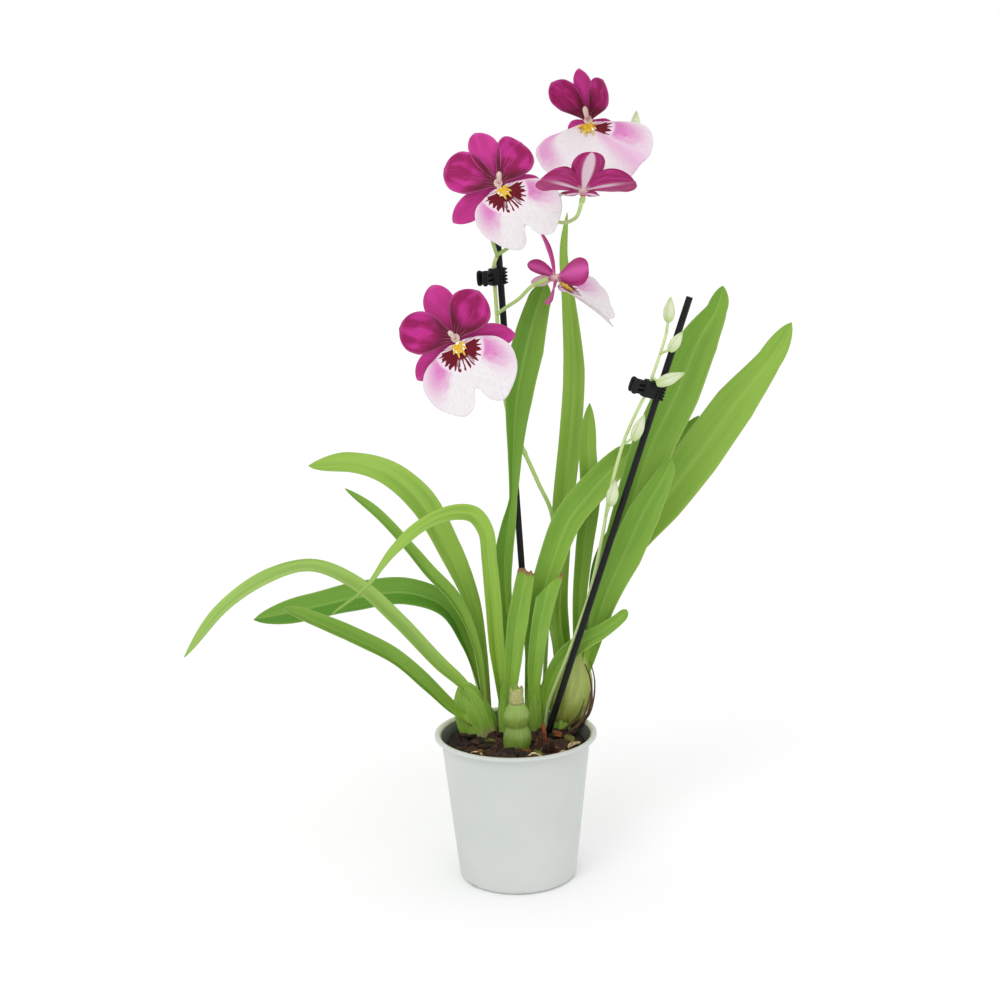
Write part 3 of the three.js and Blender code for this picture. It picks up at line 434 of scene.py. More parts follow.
def tepal_paint():
    paint = Paint("tepal_magenta", 0.55, Sheen_Weight=0.05, Sheen_Roughness=0.5, Specular_IOR_Level=0.22)
    along, across = paint.measure("along"), paint.measure("across")
    front, petal = paint.measure("front"), paint.measure("petal")
    tone, striped = paint.measure("tone"), paint.measure("striped")
    edge = paint.math("ABSOLUTE", across)
    broad = paint.noise(2.0, 1.0, paint.vector(paint.times(along, 1.3), paint.times(across, 0.9), tone))
    streaks = paint.noise(4.0, 3.0, paint.vector(paint.times(along, 0.7), paint.times(across, 3.0), tone))
    # painted highlights: broad soft noise patches of lighter magenta on the tepal fronts
    face = paint.mix(paint.step(broad, 0.42, 0.64), srgb(148, 10, 86), srgb(188, 38, 134))
    # painted highlight: the sepals (petal 0) are mixed toward a lighter magenta than the petals
    face = paint.mix(paint.step(petal, 0.0, 1.0, 0.6, 0.0), face, srgb(204, 58, 150))
    face = paint.mix(paint.step(streaks, 0.52, 0.8, 0.0, 0.4), face, srgb(214, 84, 164))
    # dark maroon wedge at the tepal bases, stronger on the petals: partly the real maroon marking, partly painted shade
    # of the cupped centre
    wedge = paint.step(paint.add(along, paint.times(edge, -0.25)), 0.06, 0.46, 1.0, 0.0)
    wedge = paint.times(wedge, paint.step(petal, 0.0, 1.0, 0.3, 0.95))
    face = paint.mix(wedge, face, srgb(92, 4, 34))
    fine = paint.math("SINE", paint.times(across, 17.0))
    fine = paint.times(paint.step(fine, 0.85, 1.0), paint.step(along, 0.06, 0.26, 0.5, 0.0))
    face = paint.mix(fine, face, srgb(224, 150, 186))
    face = paint.mix(paint.step(edge, 0.86, 1.0, 0.0, 0.35), face, srgb(214, 104, 176))
    face = paint.mix(paint.step(along, 0.9, 1.0, 0.0, 0.35), face, srgb(214, 104, 176))
    under = paint.mix(paint.step(streaks, 0.4, 0.75), srgb(146, 14, 86), srgb(188, 48, 134))
    stripe = paint.step(paint.add(edge, paint.times(petal, 0.24)), 0.24, 0.44, 1.0, 0.0)
    stripe = paint.times(stripe, paint.step(paint.times(along, petal), 0.35, 0.9, 0.9, 0.1))
    under = paint.mix(paint.times(stripe, striped), under, srgb(232, 216, 226))
    # painted highlight: the less striped a bloom, the more the middle of each tepal back is mixed toward a lighter
    # magenta
    painted_highlight_share = paint.math("SUBTRACT", 1.0, striped)
    under = paint.mix(paint.times(painted_highlight_share, paint.step(edge, 0.0, 0.9, 0.75, 0.1)), under, srgb(216, 92, 172))
    under = paint.mix(paint.measure("pale"), under, srgb(224, 190, 204))
    under = paint.mix(paint.step(along, 0.02, 0.16, 0.6, 0.0), under, srgb(222, 190, 196))
    paint.colour(paint.mix(front, under, face))
    paint.bump(paint.add(streaks, broad), 0.2, 0.0006)
    return paint.material


def lip_paint():
    paint = Paint("lip_white", 0.6, Specular_IOR_Level=0.2)
    x, y = paint.measure("lip_x"), paint.measure("lip_y")
    margin, front = paint.measure("share"), paint.measure("front")
    masked, band = paint.measure("masked"), paint.measure("band")
    down = paint.add(y, -3.0)
    radius = paint.math("SQRT", paint.add(paint.times(x, x), paint.times(down, down)))
    turn = paint.math("ARCTAN2", x, down)
    off_centre = paint.math("ABSOLUTE", turn)
    rays = paint.noise(2.0, 2.0, paint.vector(paint.times(turn, 3.0), paint.times(radius, 0.06), 0.0))
    fine = paint.noise(3.0, 3.0, paint.vector(paint.times(turn, 15.0), paint.times(radius, 0.07), 4.0))
    # white, with a blush on both shoulders that fades to the margin, and fine veins in it
    colour = paint.mix(paint.step(fine, 0.35, 0.7), srgb(231, 227, 229), srgb(222, 216, 219))
    shoulder = paint.step(paint.add(off_centre, paint.times(rays, 0.4)), 0.72, 1.2)
    fade = paint.step(paint.add(margin, paint.times(fine, 0.4)), 0.72, 1.34, 1.0, 0.0)
    far_side = paint.times(paint.step(margin, 0.55, 0.8), paint.step(margin, 0.9, 1.0, 0.8, 0.3))
    plain_side = paint.times(paint.math("SUBTRACT", 1.0, masked), far_side)
    blush = paint.times(shoulder, paint.add(paint.times(masked, fade), plain_side))
    colour = paint.mix(paint.times(blush, 0.85), colour, srgb(210, 104, 182))
    vein = paint.times(paint.step(fine, 0.5, 0.68, 0.0, 0.5), paint.step(margin, 0.6, 1.0, 1.0, 0.0))
    vein = paint.times(vein, paint.step(off_centre, 0.5, 1.0, 0.05, 1.0))
    colour = paint.mix(paint.times(vein, masked), colour, srgb(184, 60, 150))
    outline = paint.times(paint.step(radius, 16.5, 19.0, 1.0, 0.0), masked)
    colour = paint.mix(paint.times(outline, 0.85), colour, srgb(236, 222, 230))
    # dark mask with a toothed edge, and thin long teeth below its middle
    waves = paint.math("SINE", paint.add(paint.times(turn, 27.0), paint.times(rays, 9.0)))
    reach = paint.add(paint.times(waves, 1.9), paint.step(off_centre, 0.0, 1.3, 15.2, 14.6))
    inside = paint.step(paint.add(reach, paint.times(radius, -1.0)), -0.3, 0.3)
    solid = paint.math("MAXIMUM", paint.step(off_centre, 0.22, 0.6), paint.step(radius, 8.0, 10.0, 1.0, 0.0))
    solid = paint.math("MAXIMUM", solid, paint.step(waves, 0.1, 0.5))
    solid = paint.times(solid, paint.step(off_centre, 1.62, 1.68, 1.0, 0.0))
    mask = paint.times(paint.times(inside, solid), masked)
    mask_colour = paint.mix(paint.step(fine, 0.35, 0.65), srgb(84, 0, 18), srgb(118, 2, 34))
    colour = paint.mix(mask, colour, mask_colour)
    # dark lines on white from the crest to the shoulders
    upper = paint.math("SINE", paint.times(paint.add(off_centre, -1.6), 44.0))
    lines = paint.times(paint.step(upper, 0.2, 0.7), paint.step(off_centre, 1.66, 1.7))
    lines = paint.times(lines, paint.step(radius, 14.0, 16.5, 1.0, 0.0))
    lines = paint.times(lines, paint.times(paint.step(off_centre, 2.0, 2.1, 1.0, 0.0), masked))
    colour = paint.mix(lines, colour, srgb(96, 6, 36))
    colour = paint.mix(paint.times(band, 0.6), colour, srgb(218, 140, 196))
    colour = paint.mix(paint.step(radius, 3.0, 4.6, 1.0, 0.0), colour, srgb(222, 176, 30))
    under = paint.mix(paint.times(blush, 0.5), srgb(226, 220, 222), srgb(206, 136, 190))
    paint.colour(paint.mix(front, under, colour))
    paint.bump(paint.add(rays, fine), 0.3, 0.0007)
    return paint.material


def crest_paint():
    paint = Paint("crest_yellow", 0.5)
    along, around = paint.measure("along"), paint.measure("around")
    streaks = paint.noise(3.0, 2.0, paint.vector(along, paint.times(around, 7.0), 0.0))
    colour = paint.mix(paint.step(streaks, 0.54, 0.66), srgb(232, 190, 34), srgb(126, 62, 18))
    colour = paint.mix(paint.step(along, 0.7, 1.0, 0.0, 0.6), colour, srgb(238, 216, 120))
    paint.colour(colour)
    paint.bump(streaks, 0.4, 0.0005)
    return paint.material


def column_paint():
    paint = Paint("column_cream", 0.4, Coat_Weight=0.15)
    along = paint.measure("along")
    specks = paint.noise(500.0, 2.0)
    colour = paint.mix(paint.step(along, 0.0, 0.5), srgb(198, 120, 154), srgb(222, 200, 186))
    colour = paint.mix(paint.step(specks, 0.5, 0.75, 0.0, 0.35), colour, srgb(206, 186, 150))
    paint.colour(colour)
    paint.bump(specks, 0.2, 0.0003)
    return paint.material


def bark_paint():
    paint = Paint("bark", 0.9)
    tone, kind = paint.measure("tone"), paint.measure("kind")
    grain = paint.noise(260.0, 5.0, rough=0.65)
    patches = paint.noise(70.0, 3.0)
    colour = paint.mix(tone, srgb(17, 10, 6), srgb(72, 42, 26))
    colour = paint.mix(paint.step(grain, 0.5, 0.8, 0.0, 0.5), colour, srgb(98, 68, 46))
    colour = paint.mix(paint.step(grain, 0.5, 0.25, 0.0, 0.8), colour, srgb(18, 11, 7))
    moss = paint.times(paint.step(kind, 0.2, 0.3), paint.step(patches, 0.42, 0.6))
    colour = paint.mix(moss, colour, srgb(116, 122, 44))
    orange = paint.times(paint.step(kind, 0.7, 0.8), paint.step(grain, 0.3, 0.6))
    colour = paint.mix(orange, colour, srgb(150, 82, 40))
    paint.colour(colour)
    paint.bump(paint.add(grain, patches), 0.8, 0.002)
    return paint.material


def root_paint():
    paint = Paint("root_pale", 0.7)
    rough = paint.noise(300.0, 3.0)
    paint.colour(paint.mix(paint.step(rough, 0.35, 0.7), srgb(176, 150, 104), srgb(224, 208, 168)))
    paint.bump(rough, 0.5, 0.0008)
    return paint.material


def pot_paint():
    paint = Paint("pot_grey_white", 0.55)
    cloud = paint.noise(14.0, 2.0)
    grain = paint.noise(2600.0, 2.0)
    inner = paint.measure("inner")
    colour = paint.mix(paint.step(cloud, 0.3, 0.7), srgb(196, 201, 197), srgb(203, 207, 204))
    colour = paint.mix(paint.step(inner, 0.1, 0.4, 0.0, 0.8), colour, srgb(212, 210, 182))
    # painted shade: the inside wall of the pot is painted dark grey-green, standing in for the shade in its hollow
    colour = paint.mix(paint.step(inner, 0.6, 0.9), colour, srgb(92, 96, 86))
    colour = paint.mix(paint.step(grain, 0.3, 0.8, 0.0, 0.06), colour, srgb(176, 182, 178))
    paint.colour(colour)
    paint.bump(paint.add(grain, paint.times(cloud, 2.0)), 0.12, 0.0002)
    return paint.material


def black_paint():
    paint = Paint("black_plastic", 0.45, Specular_IOR_Level=0.25)
    grain = paint.noise(900.0, 3.0)
    scuffs = paint.noise(60.0, 3.0)
    colour = paint.mix(paint.step(scuffs, 0.4, 0.8), srgb(6, 7, 8), srgb(20, 21, 22))
    paint.colour(colour)
    paint.put(paint.shader.inputs["Roughness"], paint.step(scuffs, 0.3, 0.7, 0.36, 0.55))
    paint.bump(grain, 0.2, 0.0003)
    return paint.material


LEAF = leaf_paint()
SHEATH = sheath_paint()
BULB = bulb_paint("pseudobulb_green", srgb(128, 142, 52), srgb(158, 174, 86), srgb(182, 194, 118))
OLD_BULB = bulb_paint("old_bulb_green", srgb(108, 140, 44), srgb(136, 164, 74), srgb(160, 182, 104))
HUSK = husk_paint("husk_brown", srgb(58, 38, 26), srgb(112, 84, 58))
PAPER = husk_paint("dry_collar", srgb(146, 150, 84), srgb(190, 186, 128))
SPIKE = stem_paint("spike_green", srgb(150, 186, 92), srgb(188, 212, 132), srgb(206, 226, 156))
BUD_STALK = stem_paint("bud_stem_green", srgb(160, 190, 104), srgb(206, 220, 160), srgb(220, 230, 180))
BUD = bud_paint()
TEPAL = tepal_paint()
LIP = lip_paint()
CREST = crest_paint()
COLUMN = column_paint()
BARK = bark_paint()
ROOT = root_paint()
POT = pot_paint()
BLACK = black_paint()


# Pot: a turned cup with three drain channels under its floor
POT_SECTORS = 240
DRAIN_ANGLES = (-50, 74, 192)
DRAIN_WIDTH = 6.5
DRAIN_DEPTH = 1.6
POT_OUTSIDE = [
    (0, 0), (24, 0), (38, 0), (40.6, 0.1), (42.4, 0.8), (43.3, 2), (43.7, 3.6), (45.6, 20), (47.8, 40),
    (50, 60), (52.2, 80), (54, 96), (55.2, 106.4), (55.5, 107.1), (56.2, 107.4), (59, 107.4), (59.6, 107.5),
    (59.9, 107.9), (60, 108.7), (59.8, 109.4), (59.3, 109.8), (58.4, 110),
]
POT_INSIDE = [
    (57.2, 110), (56.4, 109.7), (55.8, 109), (55, 107.4), (54, 105), (53.4, 102), (52.8, 96.5), (50.9, 80),
    (48.7, 60), (46.5, 40), (44.3, 20), (42.5, 5), (41.4, 3), (39, 2.4), (20, 2.4), (0, 2.4),
]


def build_pot():
    shape = Shape()
    outline = POT_OUTSIDE + POT_INSIDE
    points, inner = [], []
    for k, (r, z) in enumerate(outline):
        for sector in range(POT_SECTORS):
            angle = 2 * math.pi * sector / POT_SECTORS
            spot = Vector((r * math.cos(angle), r * math.sin(angle), z))
            if k < 6 and r > 20:
                for drain in DRAIN_ANGLES:
                    turn = math.radians(drain - 90)
                    aside = abs(-math.sin(turn) * spot.x + math.cos(turn) * spot.y)
                    ahead = math.cos(turn) * spot.x + math.sin(turn) * spot.y
                    if aside < DRAIN_WIDTH / 2 and ahead > 0:
                        spot.z = max(z, DRAIN_DEPTH)
            points.append(spot)
            past_edge = k - len(POT_OUTSIDE)
            inner.append(0.0 if past_edge < 0 else 0.5 if past_edge < 3 else 1.0)
    shape.add(points, grid_faces(len(outline), POT_SECTORS, closed=True), inner=inner)
    return shape.build("pot_cup", [POT], "pot_plastic", "pot")


# Bark: a dark bed with loose chips, moss and root bits on it
BARK_FRONT_LEVEL = 99
BARK_BACK_RISE = 6
BARK_RADIUS = 51.6
CHIP_COUNT = 150


def bark_level(x, y):
    back = smoothstep(y, -15, 45)
    return BARK_FRONT_LEVEL + BARK_BACK_RISE * back + 0.9 * math.sin(x * 0.21) * math.cos(y * 0.17)


def add_chip(shape, centre, size, turns, tone, kind, look=0):
    """A rough splinter: a box with bevelled, broken sides."""
    sides = 7
    rings = ((-0.5, 0.72), (-0.3, 1), (0.3, 0.96), (0.5, 0.66))
    turn = Matrix.Rotation(turns[2], 3, "Z") @ Matrix.Rotation(turns[1], 3, "Y") @ Matrix.Rotation(turns[0], 3, "X")
    points = []
    for height, share in rings:
        for k in range(sides):
            angle = 2 * math.pi * k / sides
            rough = 1 + 0.34 * ripple(centre.x * 3 + k * 1.7, centre.y * 3, height * 2)
            spot = Vector((math.cos(angle) * size[0] * share * rough / 2,
                           math.sin(angle) * size[1] * share * rough / 2, height * size[2]))
            points.append(centre + turn @ spot)
    faces = grid_faces(len(rings), sides, closed=True)
    faces.append(list(range(sides))[::-1])
    faces.append([(len(rings) - 1) * sides + k for k in range(sides)])
    shape.add(points, faces, look, tone=tone, kind=kind)


def build_bark():
    bed = Shape()
    rings, sectors = 26, 96
    points, tones = [], []
    for ring in range(rings + 1):
        for sector in range(sectors):
            angle = 2 * math.pi * sector / sectors
            r = BARK_RADIUS * ring / rings
            x, y = r * math.cos(angle), r * math.sin(angle)
            rough = 1.6 * ripple(x * 0.22, y * 0.22, 3) + 0.8 * ripple(x * 0.6, y * 0.6, 9)
            points.append(Vector((x, y, bark_level(x, y) - 2.2 + rough)))
            tones.append(0.2)
    for drop, inset in ((14, 0.6), (60, 5.5), (95, 9.5)):
        for sector in range(sectors):
            angle = 2 * math.pi * sector / sectors
            r = BARK_RADIUS - inset
            points.append(Vector((r * math.cos(angle), r * math.sin(angle), BARK_FRONT_LEVEL - drop)))
            tones.append(0.1)
    faces = grid_faces(rings + 4, sectors, closed=True)
    faces.append([(rings + 3) * sectors + k for k in range(sectors)][::-1])
    bed.add(points, faces, tone=tones)
    bed.build("bark_bed", [BARK], "bark", "bark_medium")

    chips = Shape()
    draw = random.Random(11)
    for k in range(CHIP_COUNT):
        size = (draw.uniform(10, 21), draw.uniform(6, 11), draw.uniform(2.4, 5))
        reach = (BARK_RADIUS - 0.5 * size[0]) * math.sqrt((k + 0.5) / CHIP_COUNT)
        angle = k * GOLDEN_ANGLE + draw.uniform(0, 0.4)
        x, y = reach * math.cos(angle), reach * math.sin(angle)
        turns = (draw.uniform(-0.45, 0.45), draw.uniform(-0.45, 0.45), draw.uniform(0, 3.14))
        kind = draw.random()
        kind = 0.5 if kind < 0.12 else 1.0 if kind < 0.2 else 0.0
        place = Vector((x, y, bark_level(x, y) - draw.uniform(0.2, 1.8)))
        add_chip(chips, place, size, turns, draw.random(), kind)
    for spot, size, turns, tone, kind in MARKED_CHIPS:
        add_chip(chips, Vector(spot), size, [math.radians(a) for a in turns], tone, kind)
    chips.build("bark_chips", [BARK], "bark", "bark_medium", smooth=False)

    strips = Shape()
    for points, radius, kind in BARK_STRIPS:
        before = len(strips.points)
        add_tube(strips, points, lambda t, a, r=radius: r * (0.5 + abs(math.cos(a))) * (1 - 0.4 * t), sides=10)
        count = len(strips.points) - before
        for key, value in (("tone", 0.9), ("kind", kind)):
            strips.measures.setdefault(key, [0.0] * before)
            strips.measures[key][before:] = [value] * count
    strips.build("bark_strips", [BARK], "bark", "bark_medium")

    roots = Shape()
    for points, radius in ROOTS:
        add_tube(roots, points, lambda t, a, r=radius: r * (1 - 0.5 * abs(2 * t - 1) ** 3), sides=8)
    roots.build("bark_roots", [ROOT], "bark", "bark_medium")


# Chips that stand out: place, size, turns in degrees, tone, kind (0.5 mossy, 1 orange)
MARKED_CHIPS = [
    ((-41, -14, 101), (8, 6, 5), (10, 20, 30), 0.6, 0.5),
    ((-36, -24, 100), (5, 5, 4), (30, 0, 10), 0.7, 1.0),
    ((-4, -31, 99.5), (9, 5, 3), (8, -6, 12), 0.6, 0.0),
    ((24, -10, 101), (12, 5, 4), (14, 8, 160), 0.8, 1.0),
    ((31, 6, 105), (9, 6, 4), (0, 20, 40), 0.8, 1.0),
    ((20, -22, 101.5), (4, 3, 15), (20, 14, 0), 0.5, 0.0),
    ((27, -20, 102), (4, 3, 16), (12, -16, 30), 0.4, 0.0),
    ((22, -15, 103), (6, 3, 10), (40, 30, 70), 0.9, 0.5),
]
BARK_STRIPS = [
    ([(17, -11, 99), (17.8, -11, 105), (18.6, -10.5, 112)], 1.9, 0.0),
    ([(22.5, -17, 99), (23.5, -16.5, 104), (25, -16, 109)], 2.2, 0.0),
    ([(20, -6, 99), (21, -5.5, 107), (20.4, -5, 117)], 1.5, 1.0),
]
ROOTS = [
    ([(38, -14, 101), (43, -10, 102.5), (47, -6, 102), (44, -3, 101), (40, -7, 101.5), (38, -12, 101)], 1.0),
    ([(30, -25, 100), (34, -20, 101), (37, -24, 101.5), (41, -19, 101), (43, -23, 100)], 0.8),
    ([(8, -28, 100), (12, -25, 101.5), (16, -27, 101), (19, -29, 100)], 0.9),
    ([(-34, -18, 100), (-31, -21, 102), (-27, -22, 102), (-24, -25, 100)], 0.6),
]


# Leaves: [x, y, z, width] points, faces and folds spread from foot to tip
LEAVES = {
    # left_arch's tone above 1 gives it a painted sheen of pale grey-green
    "left_arch": dict(
        route=[[-25, 19, 112, 9], [-37, 14, 139, 14], [-56, 6, 161, 17], [-84, -2, 196, 16], [-113, -11, 227, 15],
               [-143, -20, 243, 14], [-173, -29, 238, 14], [-205, -38, 218, 12], [-232, -45, 185, 1]],
        faces=[[0.7, -0.7, 0.2], [0.3, -0.6, 0.7], [0, -0.5, 0.85], [-0.3, -0.6, 0.7]],
        fold=[60, 34, 18, 12], shoot="left", tone=1.35),
    "left_broad": dict(
        route=[[-22, 26, 112, 9], [-28, 28, 144, 15], [-36, 33, 170, 19], [-50, 40, 195, 22], [-79, 46, 206, 24],
               [-117, 56, 201, 26], [-157, 68, 190, 23], [-202, 76, 179, 1]],
        faces=[[0.8, -0.5, 0.1], [0.6, -0.7, 0.4], [-0.1, -0.75, 0.6], [-0.2, -0.8, 0.5]],
        fold=[60, 34, 20, 12], shoot="left", tone=0.0),
    "left_low": dict(
        route=[[-32, 13, 112, 10], [-49, 7, 128, 16], [-66, -5, 150, 18], [-88, -20, 175, 19], [-117, -38, 197, 18],
               [-140, -54, 213, 15], [-158, -68, 225, 1]],
        faces=[[0.5, -0.7, 0.4], [0.3, -0.6, 0.75], [0.2, -0.55, 0.8]],
        fold=[60, 40, 30, 22], shoot="left", tone=0.4),
    "left_high": dict(
        route=[[-20, 27, 114, 9], [-25, 30, 164, 15], [-32, 36, 200, 20], [-46, 44, 235, 24], [-68, 54, 275, 25],
               [-94, 66, 295, 22], [-122, 79, 301, 18], [-156, 92, 297, 1]],
        faces=[[0.8, -0.6, 0], [0.7, -0.7, 0.2], [0.1, -0.75, 0.6], [-0.1, -0.75, 0.6]],
        fold=[60, 30, 18, 10], shoot="left", tone=0.95),
    "left_thin": dict(
        route=[[-21, 20, 112, 8], [-30, 17, 176, 12], [-43, 16, 207, 15], [-62, 17, 229, 14], [-78, 20, 249, 11],
               [-98, 24, 271, 10], [-122, 28, 290, 1]],
        faces=[[0.7, -0.7, 0.2], [0.6, -0.7, 0.4], [0.4, -0.6, 0.7]],
        fold=[55, 34, 24], shoot="left", tone=0.45),
    "centre_bent": dict(
        route=[[-8, 18, 112, 8], [-13, 13, 169, 17], [-15, 8, 208, 15], [-17, 2, 239, 13], [-19, -3, 262, 13],
               [-27, -8, 275, 14], [-41, -14, 278, 14], [-62, -24, 272, 13], [-83, -38, 256, 12],
               [-101, -50, 235, 10], [-125, -64, 219, 1]],
        faces=[[0.3, -0.95, 0], [0.3, -0.95, 0], [0.2, -0.9, 0.5], [0, -0.3, 0.95], [-0.6, 0.35, 0.7]],
        fold=[55, 30, 20, 20, 16], shoot="centre", tone=1.0),
    "centre_tall": dict(
        route=[[-4, 25, 112, 8], [-3, 26, 165, 15], [-6, 24, 204, 17], [-6, 21, 235, 17], [-2, 16, 265, 13],
               [1, 12, 284, 9], [3, 7, 318, 15], [6, 3, 355, 23], [13, 5, 391, 26], [22, 11, 423, 18], [28, 15, 438, 1]],
        faces=[[-0.4, -0.9, 0], [-0.5, -0.85, 0], [0.6, -0.8, 0], [0.3, -0.95, 0], [-0.2, -0.98, 0.1]],
        fold=[55, 30, 40, 24, 12], shoot="centre", tone=0.25),
    "centre_stub": dict(
        route=[[-5, 14, 112, 8], [-1, 8, 162, 16], [3, 6, 193, 17], [7, 5, 215, 15], [10, 4, 231, 13]],
        faces=[[0.2, -0.98, 0], [0.1, -1, 0]],
        fold=[50, 24, 14], shoot="centre", tone=0.5, end="torn"),
    "cut_slant": dict(
        route=[[13, 21, 112, 8], [15, 14, 152, 14], [19, 10, 184, 15], [24, 8, 208, 16], [30, 6, 230, 16]],
        faces=[[0.2, -0.98, 0], [0.1, -1, 0]],
        fold=[50, 26, 14], shoot="inner_right", tone=0.5, end="slant"),
    "right_arch": dict(
        route=[[10, 27, 112, 8], [13, 24, 157, 12], [17, 21, 193, 18], [29, 19, 233, 23], [42, 19, 265, 25],
               [61, 24, 287, 25], [82, 34, 306, 20], [99, 40, 315, 1]],
        faces=[[-0.3, -0.95, 0], [-0.4, -0.9, 0.1], [-0.1, -0.85, 0.5], [0.1, -0.8, 0.6]],
        fold=[50, 34, 24, 14], shoot="inner_right", tone=0.55),
    "right_low": dict(
        route=[[18, 23, 112, 7], [24, 21, 136, 12], [35, 18, 158, 15], [49, 16.5, 171, 15], [64, 15, 180, 13],
               [79, 14, 191, 9], [84, 14, 197, 4]],
        faces=[[-0.3, -0.95, 0], [0, -0.9, 0.4], [0, -0.9, 0.4]],
        fold=[50, 30, 20], shoot="inner_right", tone=0.55, end="round"),
    "tall_back": dict(
        route=[[38, 28, 124, 9], [39, 44, 159, 14], [36, 47, 197, 16], [37, 50, 236, 18], [40, 53, 274, 19],
               [46, 56, 326, 19], [49, 59, 371, 18], [46, 62, 423, 11], [43, 65, 456, 7], [46, 68, 486, 1]],
        faces=[[-0.2, -0.98, 0], [-0.1, -1, 0], [0.1, -1, 0], [-0.7, -0.7, 0]],
        fold=[55, 34, 26, 20], shoot="right", tone=1.1),
    "mid_back": dict(
        route=[[43, 27, 126, 8], [48, 37, 161, 10], [50, 37, 200, 13], [54, 38, 238, 15], [59, 40, 276, 17],
               [58, 43, 314, 14], [60, 46, 347, 1]],
        faces=[[0.2, -0.98, 0], [0.1, -1, 0], [-0.1, -1, 0]],
        fold=[50, 30, 22], shoot="right", tone=0.7),
    "light_inner": dict(
        route=[[35, 24, 126, 8], [34, 30, 163, 11], [31, 29, 187, 11], [32, 29, 210, 10], [36, 29, 237, 1]],
        faces=[[-0.3, -0.95, 0], [-0.2, -1, 0]],
        fold=[40, 24], shoot="right", tone=0.9),
    "right_tall": dict(
        route=[[45, 26, 126, 9], [59, 33, 169, 15], [71, 31, 217, 22], [86, 28, 263, 29], [103, 24, 315, 34],
               [121, 20, 355, 34], [137, 17, 394, 29], [149.5, 14, 417, 15], [153.5, 13, 433, 1]],
        faces=[[-0.2, -0.98, 0], [0.1, -0.98, 0.1], [0.1, -0.98, 0.2]],
        fold=[55, 30, 14, 8], shoot="right", tone=0.45),
    "far_right": dict(
        route=[[47, 28, 126, 9], [61, 42, 169, 14], [71, 46, 206, 20], [89, 50, 240, 28], [115, 54, 270, 33],
               [141, 58, 303, 35], [170, 62, 342, 32], [196.5, 66, 375, 19], [213, 68, 402, 1]],
        faces=[[0, -1, 0.1], [0.1, -0.95, 0.3], [0, -0.95, 0.3]],
        fold=[55, 28, 14, 8], shoot="right", tone=0.8),
    "right_front": dict(
        route=[[46, 24, 126, 8], [58, 28, 163, 14], [67, 23, 199, 21], [82, 15, 237, 28], [96, 10, 270, 26],
               [110, 8, 296, 15], [116, 7, 310, 1]],
        faces=[[0.2, -0.98, 0], [0.1, -0.98, 0.2]],
        fold=[50, 26, 14], shoot="right", tone=0.4),
    "small_tip": dict(
        route=[[48, 29, 126, 8], [60, 50, 180, 10], [68, 58, 226, 12], [98, 66, 271, 14], [125, 72, 308, 13],
               [145, 77, 332, 1]],
        faces=[[0, -1, 0.1], [0, -0.95, 0.3]],
        fold=[45, 24, 14], shoot="right", tone=0.4),
}
LEAF_COLUMNS = 18
LEAF_ROWS_PER_POINT = 9
FOLD_DROP = 0.25
FOLD_SOFTNESS = 0.12
TIP_ROUNDNESS = 0.75


def blade_width(widths, t, rounded):
    """Width of a blade along its length, closing in a rounded point."""
    last = len(widths) - 1
    past = t * last - (last - 1)
    if past <= 0 or (widths[last] > 1 and not rounded):
        return spread(widths, t)
    return max(widths[last - 1] * max(1 - past**2, 0) ** (0.5 if rounded else TIP_ROUNDNESS), 0.5)


def build_leaf(name, route, faces, fold, shoot, tone, end="tip"):
    path = Route(route)
    widths = [p[3] for p in route]
    rows = LEAF_ROWS_PER_POINT * (len(route) - 1)
    seed = len(name) * 7.3 + tone * 11
    middle, along, across, dry = [], [], [], []
    for i in range(rows + 1):
        t = i / rows
        centre, tangent = path.at(t), path.tangent(t)
        face = spread_vector(faces, t)
        face = (face - tangent * face.dot(tangent)).normalized()
        side = tangent.cross(face).normalized()
        width = blade_width(widths, t, end == "round")
        angle = math.radians(spread(fold, t))
        centre = centre - face * (FOLD_DROP * width * math.sin(angle))
        past = max(t * (len(route) - 1) - (len(route) - 2), 0)
        row = []
        for j in range(LEAF_COLUMNS + 1):
            s = -1 + 2 * j / LEAF_COLUMNS
            if end == "slant":
                s = lerp(-1 + 1.9 * past, 1, j / LEAF_COLUMNS)
            lift = math.sqrt(s * s + FOLD_SOFTNESS**2) - FOLD_SOFTNESS
            wave = 0.035 * width * s * s * ripple(t * 9 + seed, s * 1.3) * smoothstep(t, 0.05, 0.3)
            spot = centre + side * (width / 2 * s * math.cos(angle))
            spot += face * (width / 2 * lift * math.sin(angle) + wave)
            if end == "torn":
                spot += tangent * (past * (3.5 * ripple(s * 3.1, seed) + 1.5 * ripple(s * 9, seed)))
            row.append(spot)
            along.append(t)
            across.append(s)
            withered = smoothstep(abs(s), 0.7, 1) * (1 - smoothstep(t, 0.04, 0.16)) if shoot == "left" else 0.0
            dry.append(smoothstep(past, 0.55, 1) if end in ("torn", "slant") else withered)
        middle.append(row)

    def thickness(i, j):
        s = abs(-1 + 2 * j / LEAF_COLUMNS)
        return 0.35 + 0.75 * (1 - s) ** 1.5

    shape = Shape()
    add_sheet(shape, middle, thickness, along=along, across=across, dry=dry)
    shape.measures["tone"] = [tone] * len(shape.points)
    shape.build("leaf_" + name, [LEAF], "leaf", "shoot_" + shoot)


